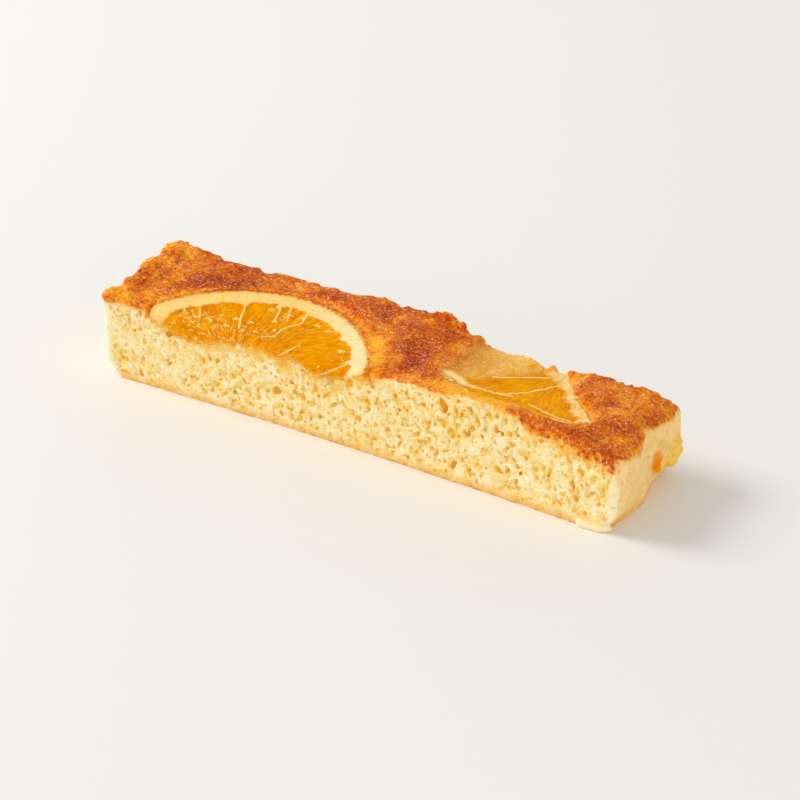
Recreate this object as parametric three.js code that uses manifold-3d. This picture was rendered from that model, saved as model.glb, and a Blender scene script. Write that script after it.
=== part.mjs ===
import * as THREE from 'three';
import { mergeVertices } from 'three/addons/utils/BufferGeometryUtils.js';
import Module from 'manifold-3d';

const wasm = await Module();
wasm.setup();

// Cut bar of cake: x runs along the bar, y from the front cut to the back cut, z up, in millimetres
const bar = {
  length: 134.6,
  width: 32,
  frontBow: 1.4,
  leftFoot: 5.6,
  rightFootFront: 1.0,
  rightFootBack: 5.4,
  rightLip: 0.9,
  rightLean: 0.8,
  leftLip: 0.7,
  shoulder: 2.2,
  shoulderDrop: 0.8,
  drape: { from: 44, over: 10, inset: 1.6, below: 4.5 },
};

// Heights of the browned top along the two long edges, as [x, z]
const frontEdge = [
  [-67.3, 19.7], [-54, 20.4], [-25, 20.5], [4, 20.0], [11, 20.5], [19, 21.4],
  [29, 22.4], [42, 22.8], [50, 22.4], [58, 20.6], [64, 18.9], [67.3, 18.2],
];
const backEdge = [
  [-67.3, 20.5], [-54, 19.8], [-33, 20.0], [-21, 21.3], [-7, 21.7], [4, 21.6],
  [11, 20.6], [16, 19.0], [23, 17.6], [35, 17.5], [44, 18.5], [52, 19.1], [60, 18.6], [67.3, 17.5],
];

const crust = {
  crown: 0.6,
  coarse: { pitch: 8.5, height: 0.4 },
  fine: { pitch: 4.6, height: 0.4 },
  cover: 1.2,
};

// Knobs of batter that rose along the left end, and lumps on the top, as [x, y, radius, height]
const knobs = [
  [-65.0, -12.6, 3.4, 0.9], [-64.6, -6.8, 3.2, 0.8], [-65.2, -1.0, 3.4, 1.0], [-64.6, 4.8, 3.2, 0.8],
  [-65.0, 10.4, 3.4, 0.9], [-62.0, 14.0, 3.4, 0.7], [7.0, 14.6, 3.6, 1.3], [62.0, -1.0, 4.4, 0.8],
];

const gap = 0.3;

// Round slices of fruit, each placed by the core on its upper face
const fruit = {
  peel: 1.0,
  pith: 4.4,
  coreRadius: 2.2,
  fleshSink: 0.6,
  membraneSink: 0.15,
};
const leftSlice = {
  name: 'orange_slice_left',
  radius: 30.2,
  thickness: 6.5,
  squash: 1,
  core: [-25.9, -22.6, 20.4],
  rise: 0,
  membranes: [170, 145, 120, 96, 81, 50, 22, -10, -45, -80, -115, -150],
};
const rightSlice = {
  name: 'orange_slice_right',
  radius: 29.5,
  thickness: 4.2,
  squash: 0.915,
  core: [39.2, 13.4, 17.2],
  rise: 8.2,
  membranes: [-54, -108, -138, 174, 142, 108, 74, 40, 6, -26],
  edgeBearing: -51,
  edgeBeyondCore: 0.9,
};

// Wavy underside of the left slice where the batter rose against it, as [x, z]
const leftUnderside = [
  [-60, 16.6], [-52, 15.6], [-46, 14.8], [-39, 15.2], [-31, 16.6], [-22, 17.3],
  [-13, 17.0], [-7, 16.6], [0, 17.1], [10, 17.4],
];

// Opening in the crust through which the sunken right slice shows, as [x, y]
const opening = [
  [17.4, 24], [17.6, 9], [19.2, -1], [22.0, -6.4], [27.5, -9.6], [35, -9.4], [44, -8.2], [50.5, -8.4],
  [55.6, -8.2], [53.8, -3.0], [49.6, 2.2], [44.4, 8.6], [39, 15.2], [33, 24],
];
const openingFloor = 17;

function clamp01(t) {
  return Math.min(Math.max(t, 0), 1);
}

function ease(t) {
  const c = clamp01(t);
  return c * c * (3 - 2 * c);
}

function lerp(a, b, t) {
  return a + (b - a) * t;
}

function lattice(i, j) {
  const s = Math.sin(i * 127.1 + j * 311.7) * 43758.5453;
  return s - Math.floor(s);
}

function roughness(x, y) {
  const i = Math.floor(x);
  const j = Math.floor(y);
  const u = ease(x - i);
  const v = ease(y - j);
  const low = lerp(lattice(i, j), lattice(i + 1, j), u);
  const high = lerp(lattice(i, j + 1), lattice(i + 1, j + 1), u);
  return 2 * lerp(low, high, v) - 1;
}

function alongEdge(points, x) {
  for (let k = 1; k < points.length; k += 1) {
    const [x0, z0] = points[k - 1];
    const [x1, z1] = points[k];
    if (x <= x1) {
      return lerp(z0, z1, ease((x - x0) / (x1 - x0)));
    }
  }
  return points[points.length - 1][1];
}

// Height of the upper face of a slice over a point of the ground
function sliceTop(slice, y) {
  const slope = Math.tan(THREE.MathUtils.degToRad(slice.rise));
  return slice.core[2] + (slice.core[1] - y) * slope;
}

// How far a point of the ground lies outside the right slice, negative over it
function beyondRightSlice(x, y) {
  const dx = x - rightSlice.core[0];
  const dy = y - rightSlice.core[1];
  const a = THREE.MathUtils.degToRad(rightSlice.edgeBearing);
  const pastEdge = dy * Math.cos(a) - dx * Math.sin(a) - rightSlice.edgeBeyondCore;
  return Math.max(Math.hypot(dx, dy / rightSlice.squash) - rightSlice.radius, pastEdge);
}

function crustHeight(x, y) {
  const across = ease(y / bar.width + 0.5);
  let z = lerp(alongEdge(frontEdge, x), alongEdge(backEdge, x), across);
  z += crust.crown * (1 - (2 * y / bar.width) ** 2);
  for (const grain of [crust.coarse, crust.fine]) {
    z += grain.height * roughness(x / grain.pitch + 7.3, y / grain.pitch + 2.9);
  }
  for (const [kx, ky, radius, height] of knobs) {
    z += height * ease(1.15 - Math.hypot(x - kx, y - ky) / radius);
  }
  const fromEnd = Math.min(bar.length / 2 - Math.abs(x), bar.shoulder) / bar.shoulder;
  z -= bar.shoulderDrop * (1 - fromEnd) ** 2;
  const covered = Math.max(z, sliceTop(rightSlice, y) + crust.cover);
  return lerp(z, covered, ease(1 - beyondRightSlice(x, y) / 4));
}

// How far the rounded foot of an end is tucked in at height z
function footInset(radius, z) {
  const d = Math.max(radius - z, 0);
  return radius - Math.sqrt(radius * radius - d * d);
}

function frontFace(x, z, top) {
  const bow = bar.frontBow * (1 - (2 * x / bar.length) ** 2);
  const { from, over, inset, below } = bar.drape;
  const drape = inset * ease((x - from) / over) * ease(1 - (top - z) / below) ** 2;
  return -bar.width / 2 + bow + drape;
}

function leftEnd(z) {
  return -bar.length / 2 - bar.leftLip * ease((z - 13) / 5) + footInset(bar.leftFoot, z);
}

function rightEnd(v, y, z) {
  const lip = bar.rightLip * ease((y - 1) / 5) * ease((z - 3) / 4);
  const lean = bar.rightLean * ease((6 - y) / 12) * ease(z / 16);
  const foot = lerp(bar.rightFootFront, bar.rightFootBack, ease(v * 1.2));
  return bar.length / 2 + lip + lean - footInset(foot, z);
}

function spread(from, to, count) {
  return Array.from({ length: count + 1 }, (_, k) => lerp(from, to, k / count));
}

// Sections along the bar stand closer together at its two ends
const sections = [-67.3, -66.7, -65.7, -64.2, ...spread(-62.4, 62.4, 55), 64.2, 65.7, 66.7, 67.3];
const levels = [0, 0.03, 0.09, 0.17, 0.28, 0.5, 0.76, 0.92, 1];

function barBlock(rows, heightAt) {
  const raw = new THREE.BoxGeometry(1, 1, 1, sections.length - 1, rows, levels.length - 1);
  raw.deleteAttribute('normal');
  raw.deleteAttribute('uv');
  const block = mergeVertices(raw, 1e-5);
  const p = block.attributes.position;
  for (let k = 0; k < p.count; k += 1) {
    const along = sections[Math.round((p.getX(k) + 0.5) * (sections.length - 1))];
    const v = p.getY(k) + 0.5;
    const w = levels[Math.round((p.getZ(k) + 0.5) * (levels.length - 1))];
    const flatY = lerp(frontFace(along, 0, 99), bar.width / 2, v);
    const top = heightAt(along, flatY);
    const z = w * top;
    const y = lerp(frontFace(along, z, top), bar.width / 2, v);
    p.setXYZ(k, lerp(leftEnd(z), rightEnd(v, y, z), along / bar.length + 0.5), y, z);
  }
  return block;
}

// Rings and spokes that draw one slice; the spokes mark the two sides of each membrane
function sliceGrid(slice, grow) {
  const flesh = slice.radius - fruit.peel - fruit.pith;
  const core = fruit.coreRadius;
  const rings = [core * 0.5, core, core + 1.2, flesh * 0.4, flesh * 0.7, flesh - 0.7, flesh + 0.3];
  rings.push(slice.radius - fruit.peel, slice.radius + grow);
  const sorted = slice.membranes.map((a) => (a + 360) % 360).sort((a, b) => a - b);
  const spokes = [];
  sorted.forEach((a, k) => {
    const next = k + 1 < sorted.length ? sorted[k + 1] : sorted[0] + 360;
    const skin = Math.min(2.6, (next - a) / 6);
    spokes.push({ angle: a, sink: fruit.membraneSink });
    for (const angle of spread(a + skin, next - skin, Math.ceil((next - a) / 14))) {
      spokes.push({ angle, sink: fruit.fleshSink });
    }
  });
  return { rings, spokes };
}

// Closed disc: rows of points from the middle of its upper face over the rim to the middle of its foot
function sliceSolid(slice, grow, lift) {
  const { rings, spokes } = sliceGrid(slice, grow);
  const foot = -slice.thickness - grow;
  const positions = [0, 0, lift];
  const addRing = (radius, heightOf) => {
    for (const spoke of spokes) {
      const a = THREE.MathUtils.degToRad(spoke.angle);
      positions.push(radius * Math.cos(a), radius * Math.sin(a) * slice.squash, heightOf(spoke));
    }
  };
  rings.forEach((radius, k) => {
    const inFlesh = k >= 2 && k <= 5 && lift === 0;
    addRing(radius, (spoke) => (inFlesh ? -spoke.sink : lift));
  });
  addRing(slice.radius + grow, () => foot);
  positions.push(0, 0, foot);
  const index = [];
  const n = spokes.length;
  const rowCount = rings.length + 1;
  const at = (row, k) => 1 + row * n + (k % n);
  const last = 1 + rowCount * n;
  for (let k = 0; k < n; k += 1) {
    index.push(0, at(0, k), at(0, k + 1));
    for (let row = 0; row + 1 < rowCount; row += 1) {
      index.push(at(row, k), at(row + 1, k), at(row + 1, k + 1));
      index.push(at(row, k), at(row + 1, k + 1), at(row, k + 1));
    }
    index.push(at(rowCount - 1, k), last, at(rowCount - 1, k + 1));
  }
  const geometry = new THREE.BufferGeometry();
  geometry.setAttribute('position', new THREE.Float32BufferAttribute(positions, 3));
  geometry.setIndex(index);
  geometry.rotateX(THREE.MathUtils.degToRad(-slice.rise));
  geometry.translate(...slice.core);
  return geometry;
}

function welded(geometry) {
  geometry.deleteAttribute('normal');
  geometry.deleteAttribute('uv');
  return mergeVertices(geometry, 1e-5);
}

// Everything beyond the straight edge of the half slice
function beyondEdge(slice, grow) {
  const block = new THREE.BoxGeometry(120, 60, 60);
  block.translate(0, 30 + slice.edgeBeyondCore + grow, 0);
  block.rotateZ(THREE.MathUtils.degToRad(slice.edgeBearing));
  block.translate(...slice.core);
  return welded(block);
}

// Everything under the wavy underside of the left slice
function underLeftSlice(drop) {
  const curve = new THREE.SplineCurve(leftUnderside.map(([x, z]) => new THREE.Vector2(x, z - drop)));
  const outline = curve.getPoints(36);
  outline.push(new THREE.Vector2(10, -20), new THREE.Vector2(-60, -20));
  const block = new THREE.ExtrudeGeometry(new THREE.Shape(outline), { depth: 90, bevelEnabled: false });
  block.rotateX(Math.PI / 2);
  block.translate(0, 30, 0);
  return welded(block);
}

function openingShaft() {
  const corners = opening.map(([x, y]) => new THREE.Vector3(x, y, 0));
  const rim = new THREE.CatmullRomCurve3(corners, true, 'centripetal').getPoints(72).slice(0, -1);
  const outline = rim.map((p) => new THREE.Vector2(p.x, p.y));
  const shaft = new THREE.ExtrudeGeometry(new THREE.Shape(outline), { depth: 30, bevelEnabled: false });
  shaft.translate(0, 0, openingFloor);
  return welded(shaft);
}

function toSolid(geometry) {
  const vertProperties = Float32Array.from(geometry.attributes.position.array);
  const triVerts = Uint32Array.from(geometry.index.array);
  return new wasm.Manifold(new wasm.Mesh({ numProp: 3, vertProperties, triVerts }));
}

function toMesh(solid, name, colour, roughnessValue) {
  const data = solid.getMesh();
  const geometry = new THREE.BufferGeometry();
  geometry.setAttribute('position', new THREE.BufferAttribute(Float32Array.from(data.vertProperties), 3));
  geometry.setIndex(Array.from(data.triVerts));
  geometry.computeVertexNormals();
  const material = new THREE.MeshStandardMaterial({ color: colour, roughness: roughnessValue });
  material.name = name;
  const mesh = new THREE.Mesh(geometry, material);
  mesh.name = name;
  return mesh;
}

const envelope = toSolid(barBlock(2, () => 30));

let left = toSolid(sliceSolid(leftSlice, 0, 0)).intersect(envelope);
left = left.subtract(toSolid(underLeftSlice(0)));
let right = toSolid(sliceSolid(rightSlice, 0, 0)).intersect(envelope);
right = right.subtract(toSolid(beyondEdge(rightSlice, 0)));

let leftSeat = toSolid(sliceSolid(leftSlice, gap, 12));
leftSeat = leftSeat.subtract(toSolid(underLeftSlice(gap)));
let rightSeat = toSolid(sliceSolid(rightSlice, gap, gap));
rightSeat = rightSeat.subtract(toSolid(beyondEdge(rightSlice, gap)));

let sponge = toSolid(barBlock(15, crustHeight));
sponge = sponge.subtract(leftSeat);
sponge = sponge.subtract(rightSeat);
sponge = sponge.subtract(toSolid(openingShaft()));

const cake = new THREE.Group();
cake.name = 'orange_cake_bar';
cake.add(toMesh(sponge, 'sponge', 0xe3b25a, 0.85));
cake.add(toMesh(left, leftSlice.name, 0xf09a1c, 0.4));
cake.add(toMesh(right, rightSlice.name, 0xf09a1c, 0.4));

// The origin lies under the middle of the bar, on its base
const box = new THREE.Box3().setFromObject(cake);
for (const piece of cake.children) {
  piece.geometry.translate(-(box.min.x + box.max.x) / 2, -(box.min.y + box.max.y) / 2, -box.min.z);
}

export default cake;
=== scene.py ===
import math
from functools import partial
import bpy
import numpy as np
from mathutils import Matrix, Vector
from mathutils.bvhtree import BVHTree


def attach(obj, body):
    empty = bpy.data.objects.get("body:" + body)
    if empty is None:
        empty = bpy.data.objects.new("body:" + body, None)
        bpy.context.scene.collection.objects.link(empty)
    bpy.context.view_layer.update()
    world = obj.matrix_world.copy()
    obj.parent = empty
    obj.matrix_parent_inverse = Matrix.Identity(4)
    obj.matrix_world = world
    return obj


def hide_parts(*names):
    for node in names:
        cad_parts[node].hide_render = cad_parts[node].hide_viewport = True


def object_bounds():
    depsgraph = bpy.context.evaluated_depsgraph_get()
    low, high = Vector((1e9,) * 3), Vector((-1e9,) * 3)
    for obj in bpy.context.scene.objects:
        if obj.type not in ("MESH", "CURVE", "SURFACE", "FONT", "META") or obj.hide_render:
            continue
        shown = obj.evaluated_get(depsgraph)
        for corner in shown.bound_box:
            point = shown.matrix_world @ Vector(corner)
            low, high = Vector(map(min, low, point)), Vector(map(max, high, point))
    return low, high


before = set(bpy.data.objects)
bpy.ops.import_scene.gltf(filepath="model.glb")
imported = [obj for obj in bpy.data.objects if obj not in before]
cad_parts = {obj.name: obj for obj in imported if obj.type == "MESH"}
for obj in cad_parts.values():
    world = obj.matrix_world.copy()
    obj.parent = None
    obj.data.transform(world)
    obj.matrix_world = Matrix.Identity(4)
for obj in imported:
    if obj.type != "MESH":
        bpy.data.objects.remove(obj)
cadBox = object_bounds()
mm = 0.001  # every shape below is worked out in millimetres
lowBox = np.array(cadBox[0]) / mm
highBox = np.array(cadBox[1]) / mm
farAway = 99.0


# numbers on arrays

def fade(start, end, value):  # 0 at start, 1 at end, smooth between; the start may be the larger
    t = np.clip((value - start) / (end - start), 0.0, 1.0)
    return t * t * (3.0 - 2.0 * t)


def softMax(a, b, width):  # the larger distance, with a rounded joint
    h = np.maximum(width - np.abs(a - b), 0.0) / width
    return np.maximum(a, b) + h * h * width * 0.25


def roundMax(a, b, radius):  # the larger distance, with a true rounded corner
    corner = np.hypot(np.maximum(a + radius, 0), np.maximum(b + radius, 0)) - radius
    return np.where((a > -radius) & (b > -radius), corner, np.maximum(a, b))


def blend(a, b, t):
    return a + (b - a) * t


def readTable(table, value):  # straight lines between pairs of place and amount
    return np.interp(value, *np.array(table).T)


def softSpot(x, y, centreX, centreY, radius):
    return np.exp(-((x - centreX) ** 2 + (y - centreY) ** 2) / radius ** 2)


def zone(spec, *places):  # an amount that fades in over a range at each place
    amount, *ranges = spec
    for ends, place in zip(ranges, places):
        amount = amount * fade(*ends, place)
    return amount


noiseBox = (np.array([-76.0, -24.0, -6.0]), np.array([76.0, 24.0, 32.0]))  # larger than the bar all round


def noiseLattice(seed, pitch):  # random heights on a coarse lattice
    low = noiseBox[0] - pitch
    counts = np.ceil((noiseBox[1] - low) / pitch).astype(int) + 3
    values = np.random.default_rng(seed).uniform(-1.0, 1.0, counts).astype(np.float32)
    return {"values": values, "pitch": pitch, "low": low}


def latticeSteps(lattice, axis, coords):
    u = (coords - lattice["low"][axis]) / lattice["pitch"]
    cell = np.clip(np.floor(u).astype(int), 0, lattice["values"].shape[axis] - 2)
    t = np.clip(u - cell, 0.0, 1.0)
    return cell, (t * t * (3.0 - 2.0 * t)).astype(np.float32)


def noiseGrid(lattice, axes):  # the lattice drawn out on a whole grid, axis by axis
    out = lattice["values"]
    for axis, coords in enumerate(axes):
        cell, t = latticeSteps(lattice, axis, coords)
        shape = [1, 1, 1]
        shape[axis] = -1
        near = np.take(out, cell, axis=axis)
        far = np.take(out, cell + 1, axis=axis)
        out = near + (far - near) * t.reshape(shape)
    return out


def noiseAt(lattice, points):  # the same noise at loose points
    steps = [latticeSteps(lattice, axis, points[:, axis]) for axis in range(3)]
    total = 0.0
    for corner in np.ndindex(2, 2, 2):
        weight = 1.0
        index = []
        for axis in range(3):
            cell, t = steps[axis]
            index.append(cell + corner[axis])
            weight = weight * (t if corner[axis] else 1.0 - t)
        total = total + weight * lattice["values"][tuple(index)]
    return total


def noiseOver(lattices, depths, x, y, height):  # mixed noise over x and y, read at one height
    x, y = np.broadcast_arrays(x, y)
    flat = np.stack([x.ravel(), y.ravel(), np.full(x.size, height)], axis=1)
    total = sum(depth * noiseAt(lattice, flat) for lattice, depth in zip(lattices, depths))
    return total.reshape(x.shape)


# maps: heights over two coordinates, sampled from the frame and read back anywhere

def mapAt(field, a, b):
    u = np.clip((a - field["a"][0]) / field["step"], 0, len(field["a"]) - 1.001)
    v = np.clip((b - field["b"][0]) / field["step"], 0, len(field["b"]) - 1.001)
    i = u.astype(int)
    j = v.astype(int)
    s = u - i
    t = v - j
    m = field["values"]
    near = m[i, j] * (1 - s) + m[i + 1, j] * s
    far = m[i, j + 1] * (1 - s) + m[i + 1, j + 1] * s
    return near * (1 - t) + far * t


def one(field, a, b):
    return float(mapAt(field, np.array([a]), np.array([b]))[0])


def fillMisses(values):  # carries the nearest hit into cells that no ray reached
    for axis in (1, 0, 1):
        for flip in (False, True):
            v = np.flip(values, axis) if flip else values
            v = np.moveaxis(v, axis, 0)
            for k in range(1, len(v)):
                empty = np.isnan(v[k])
                v[k][empty] = v[k - 1][empty]
    return values


def blurred(values, passes):
    for _ in range(passes):
        for axis in (0, 1):
            v = np.moveaxis(values, axis, 0)
            padded = np.concatenate([v[:1], v, v[-1:]])
            values = np.moveaxis((padded[:-2] + 2 * padded[1:-1] + padded[2:]) / 4, 0, axis)
    return values


def neighbourhood(values, pick):  # 3 by 3 highest or lowest
    padded = np.pad(values, 1, mode="edge")
    n, m = values.shape
    return pick([padded[i:i + n, j:j + m] for i in range(3) for j in range(3)], axis=0)


def distanceMap(marked, step):  # how far each cell lies from the nearest marked one
    spots = np.argwhere(marked)
    rows, columns = marked.shape
    out = np.empty(marked.shape)
    for i in range(rows):
        gaps = np.hypot(spots[:, 0] - i, spots[:, 1] - np.arange(columns)[:, None])
        out[i] = gaps.min(axis=1) * step
    return out


# meshes from distance fields

cubeCorners = np.array(list(np.ndindex(2, 2, 2)))
cubeEdges = [(a, a + step) for step in (1, 2, 4) for a in range(8) if not a & step]


def gridAxes(low, high, step):
    return [np.arange(a, b + step, step) for a, b in zip(low, high)]


def spread(axes):  # the three axes laid out so that they combine to a grid
    return axes[0][:, None, None], axes[1][None, :, None], axes[2][None, None, :]


def netMesh(field, axes, step):  # one vertex in each cell that the surface crosses, quads between them
    inside = field < 0
    n = np.array(field.shape) - 1
    count = np.zeros(n, np.uint8)
    for c in cubeCorners:
        count += inside[c[0]:c[0] + n[0], c[1]:c[1] + n[1], c[2]:c[2] + n[2]]
    active = (count > 0) & (count < 8)
    cells = np.argwhere(active)
    cellIndex = np.full(n, -1, np.int32)
    cellIndex[active] = np.arange(len(cells))
    values = [field[tuple((cells + c).T)] for c in cubeCorners]
    place = np.zeros((len(cells), 3))
    hits = np.zeros(len(cells))
    for a, b in cubeEdges:
        crossing = (values[a] < 0) != (values[b] < 0)
        t = values[a][crossing] / (values[a][crossing] - values[b][crossing])
        place[crossing] += cubeCorners[a] + t[:, None] * (cubeCorners[b] - cubeCorners[a])
        hits += crossing
    low = np.array([coords[0] for coords in axes])
    verts = low + step * (cells + place / hits[:, None])
    quads = []
    for axis in range(3):
        u = (axis + 1) % 3
        v = (axis + 2) % 3
        here = np.moveaxis(inside, axis, 0)[:-1]
        there = np.moveaxis(inside, axis, 0)[1:]
        edges = np.argwhere(np.moveaxis(here != there, 0, axis))
        within = (edges[:, u] > 0) & (edges[:, v] > 0) & (edges[:, u] < n[u]) & (edges[:, v] < n[v])
        edges = edges[within]
        stepU = np.eye(3, dtype=int)[u]
        stepV = np.eye(3, dtype=int)[v]
        ring = [edges - stepU - stepV, edges - stepV, edges, edges - stepU]
        quad = np.stack([cellIndex[tuple(r.T)] for r in ring], axis=1)
        leaving = inside[tuple(edges.T)]
        quad[~leaving] = quad[~leaving][:, ::-1]
        quads.append(quad)
    return verts, np.concatenate(quads)


def largestPiece(verts, quads):  # drops specks that the pores cut loose
    label = np.arange(len(verts))
    pairs = np.concatenate([quads[:, [0, 1]], quads[:, [1, 2]], quads[:, [2, 3]]])
    while True:
        lowest = np.minimum(label[pairs[:, 0]], label[pairs[:, 1]])
        fresh = label.copy()
        np.minimum.at(fresh, pairs[:, 0], lowest)
        np.minimum.at(fresh, pairs[:, 1], lowest)
        fresh = np.minimum(fresh, fresh[fresh])
        fresh = fresh[fresh]
        if np.array_equal(fresh, label):
            break
        label = fresh
    names, sizes = np.unique(label, return_counts=True)
    kept = label == names[np.argmax(sizes)]
    index = np.cumsum(kept) - 1
    quads = quads[kept[quads[:, 0]]]
    return verts[kept], index[quads]


def addObject(name, data):
    made = bpy.data.objects.new(name, data)
    bpy.context.scene.collection.objects.link(made)
    return made


def meshPiece(name, verts, quads, faceLimit):
    mesh = bpy.data.meshes.new(name)
    mesh.vertices.add(len(verts))
    mesh.vertices.foreach_set("co", (verts * mm).astype(np.float32).ravel())
    mesh.loops.add(quads.size)
    mesh.loops.foreach_set("vertex_index", quads.astype(np.int32).ravel())
    mesh.polygons.add(len(quads))
    mesh.polygons.foreach_set("loop_start", np.arange(0, quads.size, 4, dtype=np.int32))
    mesh.update(calc_edges=True)
    piece = addObject(name, mesh)
    triangles = len(quads) * 2
    if triangles > faceLimit:
        thin = piece.modifiers.new("thin", "DECIMATE")
        thin.ratio = faceLimit / triangles
        bpy.context.view_layer.objects.active = piece
        bpy.ops.object.modifier_apply(modifier=thin.name)
    piece.data.shade_smooth()
    print("piece", name, len(piece.data.vertices), "vertices", len(piece.data.polygons), "faces")
    return piece


def pointsOf(piece):
    flat = np.empty(len(piece.data.vertices) * 3, np.float32)
    piece.data.vertices.foreach_get("co", flat)
    return flat.reshape(-1, 3).astype(float) / mm


def paint(piece, name, values):  # a number or a vector on each vertex, for the materials to read
    values = np.asarray(values, np.float32)
    kind, key = ("FLOAT", "value") if values.ndim == 1 else ("FLOAT_VECTOR", "vector")
    layer = piece.data.attributes.new(name, kind, "POINT")
    layer.data.foreach_set(key, values.ravel())


# the bar's outer form, felt out with rays on the frame's solids

feel = {
    "step": 0.7, "margin": 2.0, "lowest": 0.4, "above": 1.0,  # spacing, and how far past the bar the rays go
    "from": (120, 60, 60),  # where they start, along x, y and z
    "endReach": 9.0, "sideReach": 4.0, "crustFloor": 8.0,  # what lies deeper belongs to another side
}
feelRange = [(low - feel["margin"], high + feel["margin"]) for low, high in zip(lowBox, highBox)]
feelRange[2] = (feel["lowest"], highBox[2] + feel["above"])


def solidTree(name):
    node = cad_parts[name]
    node.data.calc_loop_triangles()
    verts = [node.matrix_world @ v.co / mm for v in node.data.vertices]
    faces = [tuple(t.vertices) for t in node.data.loop_triangles]
    return BVHTree.FromPolygons(verts, faces)


def feelFrom(trees, axis, side, limit):  # rays along one axis, from its low side (-1) or its high side (1)
    first, second = [k for k in range(3) if k != axis]
    step = feel["step"]
    a = np.arange(feelRange[first][0], feelRange[first][1] + step, step)
    b = np.arange(feelRange[second][0], feelRange[second][1] + step, step)
    values = np.full((len(a), len(b)), np.nan)
    start = Vector((0, 0, 0))
    aim = Vector((0, 0, 0))
    start[axis] = side * feel["from"][axis]
    aim[axis] = -side
    for i, j in np.ndindex(values.shape):
        start[first] = a[i]
        start[second] = b[j]
        for tree in trees:
            hit = tree.ray_cast(start, aim)[0]
            if hit is None or (hit[axis] - limit) * side <= 0:
                continue
            if math.isnan(values[i, j]) or (hit[axis] - values[i, j]) * side > 0:
                values[i, j] = hit[axis]
    return {"a": a, "b": b, "step": step, "values": values}


allTrees = [solidTree(name) for name in ("sponge", "orange_slice_left", "orange_slice_right")]
spongeTree, _, rightTree = allTrees
topMap = feelFrom(allTrees, 2, 1, feel["crustFloor"])
frontMap = feelFrom(allTrees, 1, -1, lowBox[1] + feel["sideReach"])
backMap = feelFrom(allTrees, 1, 1, highBox[1] - feel["sideReach"])
leftMap = feelFrom(allTrees, 0, -1, lowBox[0] + feel["endReach"])
rightMap = feelFrom(allTrees, 0, 1, highBox[0] - feel["endReach"])
spongeTop, rightTop = (feelFrom([tree], 2, 1, feel["crustFloor"]) for tree in (spongeTree, rightTree))
bare = np.nan_to_num(rightTop["values"], nan=-farAway)
openWindow = bare > np.nan_to_num(spongeTop["values"], nan=-farAway)  # where the right slice lies bare

for sideMap in (frontMap, backMap, leftMap, rightMap):
    sideMap["values"] = blurred(fillMisses(sideMap["values"]), 1)
raw = fillMisses(topMap["values"])
raw = neighbourhood(neighbourhood(raw, np.max), np.min)  # closes the thin gaps beside the slices
topMap["values"] = blurred(raw, 1)
outward = distanceMap(openWindow, feel["step"]) - distanceMap(~openWindow, feel["step"])
windowGap = dict(topMap, values=blurred(outward, 2))  # how far from the window, below zero inside it
print("felt the frame:", topMap["values"].shape, "cells on top")


# orange slices: place, layers and cells of the flesh

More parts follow.
